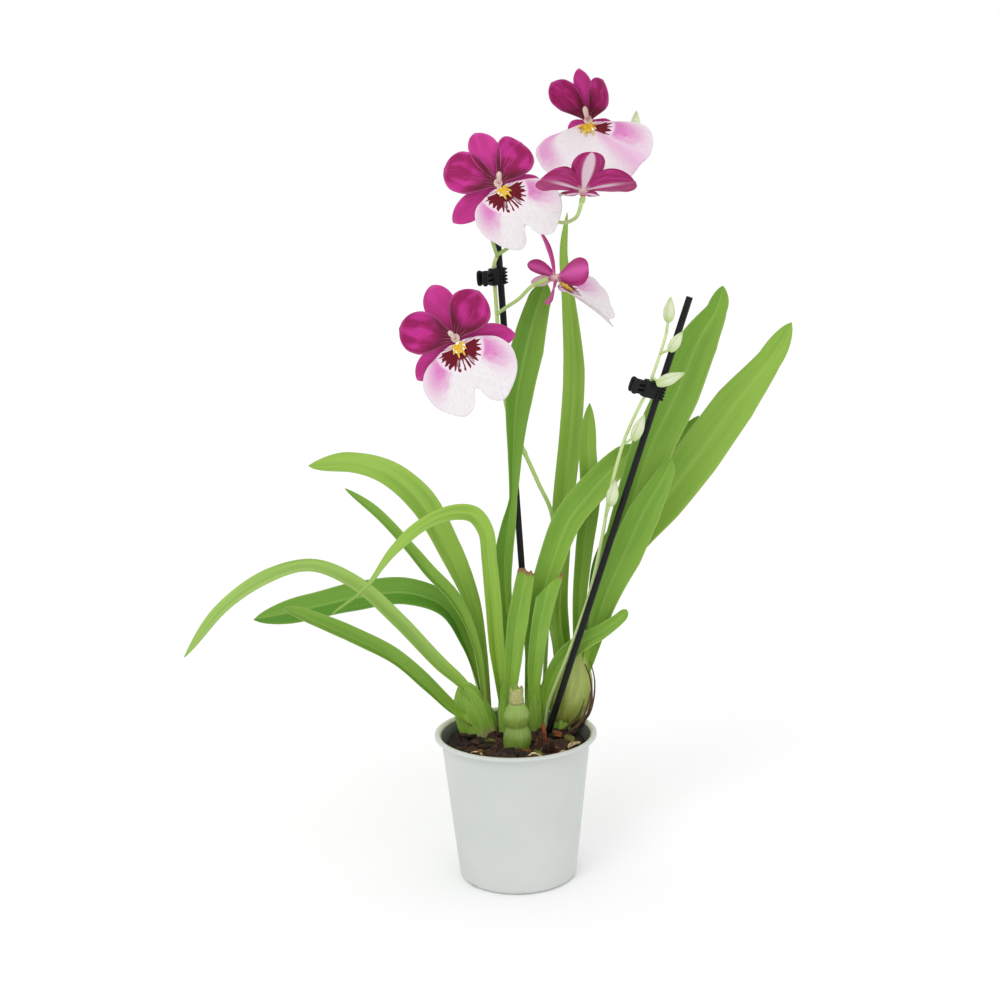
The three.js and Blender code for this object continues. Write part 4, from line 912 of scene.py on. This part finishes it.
# Pseudobulbs and sheaths: profiles as [share of length, share of radius]
BULB_PROFILE = [(0, 0), (0.02, 0.35), (0.15, 0.72), (0.35, 1), (0.6, 0.9), (0.82, 0.55), (0.97, 0.3), (1, 0)]
SHEATH_PROFILE = [(0, 0), (0.02, 0.6), (0.25, 0.92), (0.5, 1), (0.78, 0.8), (0.98, 0.35), (1, 0)]
OLD_BULB_PROFILE = [
    (0, 0), (0.02, 0.61), (0.2, 0.89), (0.37, 1), (0.46, 0.85), (0.51, 0.74), (0.56, 0.83), (0.65, 0.91),
    (0.75, 0.73), (0.84, 0.47), (0.9, 0.41), (0.98, 0.47), (1, 0),
]
BUD_PROFILE = [(0, 0), (0.03, 0.5), (0.22, 0.92), (0.45, 1), (0.72, 0.66), (0.94, 0.2), (1, 0)]
OVARY_PROFILE = [(0, 0), (0.03, 0.6), (0.5, 1), (0.9, 0.85), (1, 0)]
BULB_TURN = 8


def build_bases():
    def fibres(t, angle):
        return 0.05 * math.sin(9 * angle + 4 * t) + 0.05 * ripple(3 * math.cos(angle), 3 * math.sin(angle), 5 * t)

    def ribs(t, angle):
        return 0.07 * math.sin(10 * angle + 2 * t) + 0.04 * ripple(2 * math.cos(angle), 2 * math.sin(angle), 3 * t)

    bases = [
        ("sheath_left", "left", (-21, 21, 82), (-38, 17, 142), 14.5, 0.5, SHEATH_PROFILE, fibres, SHEATH),
        ("sheath_centre", "centre", (-5, 18, 82), (-6, 18, 150), 7.4, 0.95, SHEATH_PROFILE, fibres, SHEATH),
        ("sheath_inner_right", "inner_right", (13, 24, 82), (15, 23, 146), 7.4, 0.8, SHEATH_PROFILE, fibres, SHEATH),
        ("sheath_right", "right", (33, 23, 82), (39, 26, 128), 6.5, 0.9, SHEATH_PROFILE, fibres, SHEATH),
        ("bulb_right", "right", (37.5, 23.6, 104), (48, 29, 166), 16.5, 0.5, BULB_PROFILE, ribs, BULB),
    ]
    for name, shoot, foot, top, radius, flat, profile, relief, look in bases:
        shape = Shape()
        add_turned(shape, foot, top, profile, radius, sides=56, steps=48, flat=flat, turn=BULB_TURN, relief=relief)
        shape.measures["papery"] = [1.0 if shoot == "left" else 0.15] * len(shape.points)
        shape.build(name, [look], "leaf", "shoot_" + shoot)

    husks = Shape()
    for points, radius in HUSK_STRIPS:
        add_tube(husks, points, lambda t, a, r=radius: r * (0.35 + abs(math.cos(a))) * (1.1 - 0.7 * t), sides=10)
    husks.build("husk_strips", [HUSK], "leaf", "shoot_right")

    def wrinkles(t, angle):
        return 0.09 * ripple(1.2 * math.cos(angle), 1.2 * math.sin(angle), 4 * t) + 0.02 * math.sin(3 * angle)

    shape = Shape()
    add_turned(shape, (1, -5, 86), (1, -8, 145), OLD_BULB_PROFILE, 10.6, sides=56, steps=64, flat=0.85,
               turn=BULB_TURN, relief=wrinkles)
    shape.build("old_bulb", [OLD_BULB], "pseudobulb", "old_pseudobulb")

    collar = Shape()
    middle, along, around = [], [], []
    for i in range(9):
        row = []
        for j in range(37):
            angle = 2 * math.pi * j / 36
            height = i / 8 * (11.5 + 2.5 * ripple(3 * math.cos(angle), 3 * math.sin(angle), 5))
            r = 5.1 - 0.5 * (i / 8) ** 2 + 0.4 * ripple(2 * math.cos(angle), 2 * math.sin(angle), i * 0.4)
            row.append(Vector((1 + r * math.cos(angle), -7.4 + r * math.sin(angle), 134 + height)))
            along.append(i / 8)
            around.append(j / 36)
        middle.append(row)
    add_sheet(collar, middle, lambda i, j: 0.5, along=along, around=around)
    collar.build("old_bulb_collar", [PAPER], "pseudobulb", "old_pseudobulb")


# Brown strips of old sheath that loop down the right pseudobulb
HUSK_STRIPS = [
    ([(46, 21, 104), (54, 19.5, 114), (57.5, 19.5, 128), (57, 20, 142), (53, 21, 154)], 0.9),
    ([(44, 17, 103), (50, 15.5, 112), (54, 16, 122), (57, 18, 134)], 0.8),
    ([(36, 17, 104), (42, 14.5, 110), (48, 15, 117), (52, 16, 128)], 0.7),
    ([(40, 16, 103), (45, 14.5, 107), (50, 17, 112), (54, 20, 121)], 0.9),
    ([(46, 20, 105), (55, 18.5, 115), (59, 19, 127), (60, 20, 142), (57, 21, 156)], 0.7),
]


# Blooms
# striped also sets the painted highlight on the tepal backs, which grows as striped falls
BLOOM_DEFAULTS = dict(
    size=1, breadth=1, dorsal_breadth=0.9, lateral_size=1, lateral_breadth=1, petal_lift=0, petal_swing=0,
    lip_size=1, lip_cup=0, lip_roll=0, lip_turn=0, lip_fold=None, far_petal=1, striped=0.4)
BLOOMS = {
    "bloom_low": dict(
        centre=(-36, -36, 404), yaw=-8, pitch=-4, roll=-24, dorsal_cup=-4, petal_cup=14, lateral_cup=-2,
        lip_pitch=15, lip_cup=3),
    "bloom_middle": dict(
        centre=(-5, -26, 507), yaw=18, pitch=8, roll=-17, size=0.97, dorsal_cup=-12, petal_cup=-16,
        lateral_cup=-16, lip_size=0.96, lip_pitch=20, lip_cup=8, lip_roll=8),
    "bloom_top": dict(
        centre=(59.5, 20, 550), yaw=-20, pitch=11, roll=0, size=1.06, breadth=0.62, dorsal_breadth=0.5,
        lateral_size=0.45, lateral_breadth=0.6, petal_lift=10, dorsal_cup=46, petal_cup=50, lateral_cup=-20,
        lip_size=1.12, lip_pitch=32, lip_cup=6, lip_roll=16, lip_turn=12, lip_fold=30),
    "bloom_back": dict(
        centre=(51.5, -41, 501), yaw=184, pitch=50, roll=-4, size=0.98, breadth=0.9, lateral_size=0.3,
        lateral_breadth=0.35, petal_lift=-4, dorsal_cup=0, petal_cup=-14, lateral_cup=6, lip_size=0.42,
        lip_pitch=40, striped=0.9),
    "bloom_side": dict(
        centre=(34, -14, 442), yaw=113, pitch=0, roll=-12, size=0.98, breadth=0.64, dorsal_breadth=0.4,
        lateral_size=0.8, lateral_breadth=0.7, petal_lift=-12, petal_swing=28, dorsal_cup=-24, petal_cup=-18,
        lateral_cup=-34, lip_pitch=60, lip_cup=12, lip_turn=-28, far_petal=0.62, striped=0),
}
TEPALS = [
    dict(angle=0, length=39, width=25, widest=0.6, offset=-1.1, cup="dorsal_cup", narrow="dorsal_breadth",
         point=0.62),
    dict(angle=-112, length=41, width=18, widest=0.58, offset=-1.6, cup="lateral_cup", scale="lateral_size",
         narrow="lateral_breadth", point=0.75),
    dict(angle=112, length=41, width=18, widest=0.58, offset=-1.6, cup="lateral_cup", scale="lateral_size",
         narrow="lateral_breadth", point=0.75),
    dict(angle=-54, length=39, width=30, widest=0.62, offset=0.3, cup="petal_cup", petal=1),
    dict(angle=54, length=39, width=30, widest=0.62, offset=0.3, cup="petal_cup", petal=1),
]
TEPAL_START = 1.5
TEPAL_ROWS = 44
TEPAL_COLUMNS = 26
TEPAL_HOLLOW = 0.22
CLAW_SHARE = 0.24
LIP_HALF = [(8, -1), (17, 2), (28, 8), (34, 19), (32, 32), (24, 42), (14, 48), (6, 44), (0, 33)]
LIP_ROWS = 34
LIP_COLUMNS = 150
LIP_START = 0.14
LIP_FORWARD = 2.6
LIP_DROP = 3.6
LIP_HALF_WIDTH = 34
LIP_CURL = 3
CREST_SHARE = 0.3
# Side, reach across, reach down and radius of each ridge of the crest, in mm
CREST_RIDGES = (
    (-1, 6, 2, 0.7), (1, 6, 2, 0.7), (-1, 5, 6, 0.9), (1, 5, 6, 0.9), (-1, 2.2, 10, 0.9), (1, 2.2, 10, 0.9),
    (-1, 0.4, 7, 1.3), (1, 0.4, 7, 1.3), (-1, 3.4, 0, 0.8), (1, 3.4, 0, 0.8),
)
HUB_RADIUS = 3.1
OVARY_RADIUS = 2
HUB_FRONT = 1.2
HUB_BACK = -5
COLUMN_RADIUS = 1.9
COLUMN_RISE = 6
COLUMN_REACH = 8
COLUMN_GAP = 1.3


def bloom_matrix(bloom):
    """Turns a bloom's own frame (across, up, forward) into the plant's frame."""
    y, p, r = (math.radians(bloom[key]) for key in ("yaw", "pitch", "roll"))
    level = Vector((math.cos(y), math.sin(y), 0))
    face = Vector((math.sin(y) * math.cos(p), -math.cos(y) * math.cos(p), math.sin(p)))
    upright = face.cross(level)
    across = level * math.cos(r) - upright * math.sin(r)
    up = level * math.sin(r) + upright * math.cos(r)
    turn = Matrix((across, up, face)).transposed().to_4x4()
    return Matrix.Translation(Vector(bloom["centre"])) @ turn @ Matrix.Scale(bloom["size"], 4)


def tepal_share(t, widest, point):
    if t < widest:
        return CLAW_SHARE + (1 - CLAW_SHARE) * math.sin(math.pi / 2 * t / widest) ** 1.4
    return max(1 - ((t - widest) / (1 - widest)) ** 2.2, 0) ** point


def add_tepal(shape, bloom, seed, angle, length, width, widest, offset, cup, petal=0, scale=None,
              narrow="breadth", point=0.55):
    aside = math.copysign(1, angle) * petal
    turn = math.radians(angle - aside * bloom["petal_lift"])
    tip = bloom[cup] - aside * bloom["petal_swing"]
    far = bloom["far_petal"] if angle > 0 else 1
    pale = 0.75 if far < 1 and not petal else 0.0
    long = length * far * (bloom[scale] if scale else 1)
    out = Vector((math.sin(turn), math.cos(turn), 0))
    side = Vector((math.cos(turn), -math.sin(turn), 0))
    forward = Vector((0, 0, 1))
    step = (long - TEPAL_START) / TEPAL_ROWS
    centre = out * TEPAL_START + forward * offset
    middle, along, across = [], [], []
    for i in range(TEPAL_ROWS + 1):
        t = i / TEPAL_ROWS
        tilt = math.radians(tip) * (0.6 + 0.8 * t)
        if i > 0:
            centre = centre + (out * math.cos(tilt) + forward * math.sin(tilt)) * step
        normal = forward * math.cos(tilt) - out * math.sin(tilt)
        half = width / 2 * far * bloom[narrow] * max(tepal_share(t, widest, point), 0.02)
        row = []
        for j in range(TEPAL_COLUMNS + 1):
            s = -1 + 2 * j / TEPAL_COLUMNS
            wave = 1.7 * bloom[narrow] * s * s * ripple(t * 3.4 + seed, s * 1.5, seed) * smoothstep(t, 0.15, 0.6)
            keel = 0.8 * math.exp(-((s / 0.16) ** 2)) * (1 - t)
            hollow = TEPAL_HOLLOW * half * s * s
            reach = 1 + 0.025 * ripple(t * 6 + seed * 3, s) * abs(s)
            row.append(centre + side * (half * s * reach) + normal * (hollow + wave - keel))
            along.append(t)
            across.append(s)
        middle.append(row)

    def thickness(i, j):
        s = abs(1 - 2 * j / TEPAL_COLUMNS)
        return 0.25 + 0.45 * (1 - s)

    size = 2 * len(along)
    add_sheet(shape, middle, thickness, along=along, across=across)
    for key, value in (("petal", float(petal)), ("tone", seed), ("striped", float(bloom["striped"])),
                       ("pale", pale)):
        shape.measures.setdefault(key, [0.0] * (len(shape.points) - size))
        shape.measures[key][-size:] = [value] * size


def lip_point(across, down, share, bloom, seed=None):
    pitch, roll, turn = (math.radians(bloom[key]) for key in ("lip_pitch", "lip_roll", "lip_turn"))
    size = share * bloom["lip_size"]
    bow = bloom["lip_cup"] * (across * size / LIP_HALF_WIDTH) ** 2 - LIP_CURL * share**3
    if seed is not None:
        bow += 1.5 * share**3 * ripple(across * 0.09 + seed, down * 0.09, seed)
        bow += 0.7 * share**6 * ripple(across * 0.25 + seed, down * 0.25, seed)
        bow += 1.2 * math.exp(-((across * size / 5) ** 2)) * share
        bow += 3.2 * fold_band(across * size, down * size, bloom)
    r = (across * math.cos(roll) + down * math.sin(roll)) * size
    d = (down * math.cos(roll) - across * math.sin(roll)) * size
    ahead = max(d, 0) * math.sin(pitch) + bow * math.cos(pitch) * share
    return Vector((
        r * math.cos(turn) + ahead * math.sin(turn),
        -LIP_DROP - d * math.cos(pitch) + bow * math.sin(pitch),
        LIP_FORWARD + ahead * math.cos(turn) - r * math.sin(turn),
    ))


def fold_angle(x, y, bloom):
    """Degrees from the lip's fold, positive on the side that shows its mask."""
    return math.degrees(math.atan2(x, y - 3)) - bloom["lip_fold"]


def fold_band(x, y, bloom):
    """Share of a raised fold that runs outward from the crest, for the bloom that has one."""
    if bloom["lip_fold"] is None:
        return 0.0
    return math.exp(-((fold_angle(x, y, bloom) / 11) ** 2)) * smoothstep(math.hypot(x, y), 5, 18)


def build_bloom(name, bloom, seed):
    matrix = bloom_matrix(bloom)
    tepals = Shape()
    for k, tepal in enumerate(TEPALS):
        add_tepal(tepals, bloom, seed + k * 1.7, **tepal)
    hub = [(0, 0), (0.02, 0.6), (0.5, 0.85), (0.95, 1), (1, 0)]
    add_turned(tepals, (0, 0, HUB_BACK), (0, 0, HUB_FRONT), hub, HUB_RADIUS, look=1)
    tepals.build(name + "_flower", [TEPAL, COLUMN], "tepal", name + "_tepals", matrix=matrix)

    lip = Shape()
    whole = Route([(x, y, 0) for x, y in LIP_HALF] + [(-x, y, 0) for x, y in LIP_HALF[-2::-1]])
    outline = [whole.at(k / LIP_COLUMNS) for k in range(LIP_COLUMNS + 1)]
    middle, lip_x, lip_y, shares, masked, band = [], [], [], [], [], []
    for i in range(LIP_ROWS + 1):
        share = lerp(LIP_START, 1, i / LIP_ROWS)
        middle.append([lip_point(p.x, p.y, share, bloom, seed) for p in outline])
        size = share * bloom["lip_size"]
        lip_x += [p.x * size for p in outline]
        lip_y += [p.y * size for p in outline]
        shares += [share] * len(outline)
        band += [fold_band(p.x * size, p.y * size, bloom) for p in outline]
        if bloom["lip_fold"] is None:
            masked += [1.0] * len(outline)
        else:
            masked += [smoothstep(fold_angle(p.x * size, p.y * size, bloom), 4, 12) for p in outline]
    add_sheet(lip, middle, lambda i, j: 0.7 - 0.4 * i / LIP_ROWS, lip_x=lip_x, lip_y=lip_y, share=shares,
              masked=masked, band=band)
    lip.build(name + "_lip_blade", [LIP], "lip", name + "_lip", matrix=matrix)

    crest = Shape()
    ridge = [(0, 0), (0.06, 0.7), (0.2, 1), (0.5, 0.7), (0.7, 0.9), (0.92, 0.5), (1, 0)]
    for side, spreading, length, thickness in CREST_RIDGES:
        start = lip_point(side * 1.2 / CREST_SHARE, 0.5 / CREST_SHARE, CREST_SHARE, bloom) + Vector((0, 0, 0.8))
        end = lip_point(side * spreading / CREST_SHARE, length / CREST_SHARE, CREST_SHARE, bloom)
        add_turned(crest, start, end + Vector((0, 0, 1.6)), ridge, thickness, sides=14, steps=20)
    crest.build(name + "_crest", [CREST], "lip", name + "_lip", matrix=matrix)

    column = Shape()
    body = [(0, 0), (0.03, 0.6), (0.3, 0.85), (0.6, 0.95), (0.85, 1), (0.97, 0.6), (1, 0)]
    foot = (0, -0.4, HUB_FRONT + COLUMN_GAP)
    top = (0, COLUMN_RISE, HUB_FRONT + COLUMN_REACH)
    add_turned(column, foot, top, body, COLUMN_RADIUS, flat=0.8)
    cap = [(0, 0), (0.1, 0.8), (0.5, 1), (0.9, 0.7), (1, 0)]
    add_turned(column, (0, COLUMN_RISE - 1.6, top[2] - 1.4), (0, COLUMN_RISE + 0.4, top[2] + 0.6), cap, 1.45)
    column.build(name + "_column_body", [COLUMN], "column", name + "_column", matrix=matrix)


# Flower spike and bud spike
STEM_RADIUS = 1.5
PEDICEL_RADIUS = 1.3
OVARY_GAP = 0.8
SPIKE_STEM = [
    (22, 36, 72), (23, 39, 130), (27, 43, 199), (31, 39, 262), (20, 29, 292), (9, 21, 319), (-1, 18, 345),
    (-5, 17.5, 375), (-7, 17.5, 405), (-8.2, 17.2, 430), (-8.9, 16.4, 450), (-6, 13, 459),
]
SPIKE_TOP = [
    (-6.4, 13.4, 458), (3, 14, 464), (14, 19, 480), (25, 24, 498), (34, 25, 513), (44, 25, 520), (62, 26, 517),
    (77, 25, 517), (85, 24, 522), (90, 24, 529), (92, 24, 536),
]
PEDICELS = {
    "bloom_low": [(-6.2, 17.5, 391), (-14, 4, 397), (-26, -12, 403), (-34, -19, 405)],
    "bloom_side": [(-7.6, 17.4, 416), (0, 5, 422), (8, -8, 428), (17, -17, 437)],
    "bloom_middle": [(-6.4, 13.4, 457), (-11, 5, 474), (-12, -2, 492), (-10, -7, 503)],
    "bloom_back": [(21, 22, 491), (27, 12, 487), (35, 2, 481), (42, -14, 480), (48, -32, 484), (50, -48, 492)],
    "bloom_top": [(35, 25, 514), (40, 32, 523), (46, 37, 534), (53, 37, 542)],
}
SPIKE_BUD = ((91.5, 24, 532), (93.5, 23, 556), 4.6)
BUD_STEM = [
    (19.5, 24, 74), (22, 21, 98), (24.5, 18, 122), (41, 12, 167), (57, 11, 213), (66, 6, 256), (70, 0, 282),
    (75, -3, 305), (82, -6, 329), (91.5, -6.9, 350), (97.2, -7.5, 361), (101, -8.5, 372), (107, -13, 391),
    (111, -14, 405),
]
BUDS = [
    ((68, 2.5, 270), (71, -5, 279), (75, -6, 298), 4.3),
    ((80, -5, 323), (87, -12, 327), (95, -14, 346), 4.1),
    ((100.7, -8.4, 371), (103, -16, 367), (123, -18, 375), 4.2),
    ((106, -13, 388), (112, -19, 390), (121, -20, 404), 3.8),
    ((110, -14, 402), (111.5, -15, 410), (113, -17, 428), 4.1),
]


def bud_seams(t, angle):
    return 0.07 * abs(math.sin(1.5 * angle)) - 0.035


def build_flower_spike():
    def stem_radius(t, angle):
        knots = sum(math.exp(-(((t - k) / 0.006) ** 2)) for k in (0.24, 0.44, 0.62, 0.86))
        return STEM_RADIUS * (1.12 - 0.2 * t + 0.28 * knots)

    stem = Shape()
    add_tube(stem, SPIKE_STEM, stem_radius, steps=150)
    add_tube(stem, SPIKE_TOP, lambda t, a: PEDICEL_RADIUS * (1.05 - 0.15 * t), steps=110)
    for name, route in PEDICELS.items():
        bloom = {**BLOOM_DEFAULTS, **BLOOMS[name]}
        back = HUB_BACK * bloom["size"] - OVARY_GAP
        ovary_top = bloom_matrix(bloom) @ Vector((0, 0, back / bloom["size"]))
        foot = Vector(route[-1])
        add_tube(stem, route + [foot.lerp(ovary_top, 0.2)], lambda t, a: PEDICEL_RADIUS * (0.95 + 0.15 * t))
        add_turned(stem, foot, ovary_top, OVARY_PROFILE, OVARY_RADIUS, sides=18, steps=16)
    stem.build("flower_stem", [SPIKE], "spike", "flower_spike")
    bud = Shape()
    foot, top, radius = SPIKE_BUD
    add_turned(bud, foot, top, BUD_PROFILE, radius, sides=36, steps=30, relief=bud_seams)
    bud.build("flower_stem_bud", [BUD], "bud", "flower_spike")


def build_bud_spike():
    stem = Shape()
    add_tube(stem, BUD_STEM, lambda t, a: 1.45 - 0.35 * t, steps=150)
    buds = Shape()
    for branch, foot, top, radius in BUDS:
        inside = Vector(foot).lerp(Vector(top), 0.15)
        add_tube(stem, [branch, inside], lambda t, a: 0.85 + 0.3 * t, steps=8)
        add_turned(buds, foot, top, BUD_PROFILE, radius, sides=36, steps=30, relief=bud_seams)
    stem.build("bud_stem", [BUD_STALK], "spike", "bud_spike")
    buds.build("buds", [BUD], "bud", "bud_spike")


# Stakes and clips
STAKE_RADIUS = 2.4
STAKES = {
    "stake_left": ((16, 41, 64), (-7, 17, 490)),
    "stake_right": ((13, 16, 68), (127, -10, 427)),
}
CLIPS = {
    "clip_left": dict(at="stake_left", height=443, reach=5.2, turn=216),
    "clip_right": dict(at="stake_right", height=361, reach=9.1, turn=194.6),
}
CLIP_LENGTH = 12
SEAT_GAP = 0.3
CLIP_WALL = 1.4


def build_stake(name, foot, top):
    shape = Shape()
    length = (Vector(top) - Vector(foot)).length
    bevel = 0.7 / length
    profile = [(0, 0), (0.0001, 0.8), (bevel, 1), (0.25, 1), (0.5, 1), (0.75, 1), (1 - bevel, 1), (0.9999, 0.8), (1, 0)]
    add_turned(shape, foot, top, profile, STAKE_RADIUS, sides=28, steps=160)
    shape.build(name + "_rod", [BLACK], "stake", name)


def build_clip(name, at, height, reach, turn):
    foot, top = (Vector(p) for p in STAKES[at])
    axis = (top - foot).normalized()
    centre = foot.lerp(top, (height - foot.z) / (top.z - foot.z))
    side = -Vector((math.cos(math.radians(turn)), math.sin(math.radians(turn)), 0))
    side = (side - axis * side.dot(axis)).normalized()
    front = axis.cross(side)
    matrix = Matrix.Translation(centre) @ Matrix((side, front, axis)).transposed().to_4x4()
    inner = STAKE_RADIUS + SEAT_GAP
    outer = inner + CLIP_WALL

    def loop(radius):
        points = []
        for k in range(25):
            angle = math.radians(-90 + 180 * k / 24)
            points.append((radius * math.cos(angle), radius * math.sin(angle)))
        for k in range(25):
            angle = math.radians(90 + 180 * k / 24)
            points.append((-reach + radius * math.cos(angle), radius * math.sin(angle)))
        return points

    shape = Shape()
    half = CLIP_LENGTH / 2
    rings = [(outer - 0.3, -half), (outer, -half + 0.4), (outer, half - 0.4), (outer - 0.3, half), (inner, half),
             (inner, -half)]
    points = [Vector((x, y, z)) for radius, z in rings for x, y in loop(radius)]
    count = len(loop(1))
    faces = grid_faces(len(rings), count, closed=True)
    faces += [[(len(rings) - 1) * count + j, (len(rings) - 1) * count + (j + 1) % count, (j + 1) % count, j]
              for j in range(count)]
    shape.add(points, faces)
    knob = [(0, 0), (0.04, 0.6), (0.18, 0.92), (0.5, 1), (0.82, 0.92), (0.96, 0.6), (1, 0)]
    for side_sign in (-1, 1):
        start = (-reach - outer - 6.4, side_sign * 3.4, -half + 0.4)
        end = (-reach - outer - 6.4, side_sign * 3.4, half - 0.4)
        add_turned(shape, start, end, knob, 2.5, sides=20, steps=24, flat=0.6)
        arm = [(-reach - outer + 1.2, side_sign * 1.4, 0), (-reach - outer - 3, side_sign * 2.6, 0),
               (-reach - outer - 6.6, side_sign * 3.4, 0)]
        for level in (-3.4, 0, 3.4):
            add_tube(shape, [(x, y, z + level) for x, y, z in arm], lambda t, a: 1.5, sides=10)
        for row in range(5):
            level = (row - 2) * 2.4
            for ahead in (-2.4, 0.2, 2.4):
                tooth = (ahead, side_sign * (outer - 0.3), level)
                tip = (ahead, side_sign * (outer + 1.3), level + 0.2)
                add_turned(shape, tooth, tip, [(0, 0), (0.05, 1), (0.7, 0.8), (1, 0)], 0.8, sides=8, steps=8)
    shape.build(name + "_jaws", [BLACK], "clip", name, matrix=matrix)


def build_stage():
    floor_paint = Paint("floor_white", 0.9)
    shade = floor_paint.noise(1.2, 1.0)
    floor_paint.colour(floor_paint.mix(shade, (0.93, 0.93, 0.93, 1), (0.95, 0.95, 0.95, 1)))
    mesh = bpy.data.meshes.new("floor")
    reach = 12
    mesh.from_pydata([(-reach, -reach, 0), (reach, -reach, 0), (reach, reach, 0), (-reach, reach, 0)], [], [(0, 1, 2, 3)])
    mesh.materials.append(floor_paint.material)
    floor = bpy.data.objects.new("floor", mesh)
    bpy.context.scene.collection.objects.link(floor)

    world = bpy.data.worlds.new("studio")
    bpy.context.scene.world = world
    world.use_nodes = True
    background = world.node_tree.nodes["Background"]
    background.inputs["Color"].default_value = (1, 1, 1, 1)
    background.inputs["Strength"].default_value = 1.0
    for name, turn, strength, angle in (
        ("key", (-38, -26, 0), 0.5, 26),
        ("fill", (-58, 34, 0), 0.12, 50),
    ):
        data = bpy.data.lights.new(name, "SUN")
        data.energy = strength
        data.angle = math.radians(angle)
        light = bpy.data.objects.new(name, data)
        light.rotation_euler = [math.radians(-turn[0]), math.radians(turn[1]), 0]
        bpy.context.scene.collection.objects.link(light)


build_pot()
build_bark()
for leaf_name, leaf in LEAVES.items():
    build_leaf(leaf_name, **leaf)
build_bases()
for number, (bloom_name, plan) in enumerate(BLOOMS.items()):
    build_bloom(bloom_name, {**BLOOM_DEFAULTS, **plan}, 2.0 + 3.1 * number)
build_flower_spike()
build_bud_spike()
for stake_name, (stake_foot, stake_top) in STAKES.items():
    build_stake(stake_name, stake_foot, stake_top)
for clip_name, clip in CLIPS.items():
    build_clip(clip_name, **clip)
build_stage()

bpy.context.scene.view_settings.view_transform = "Standard"

bpy.context.view_layer.update()
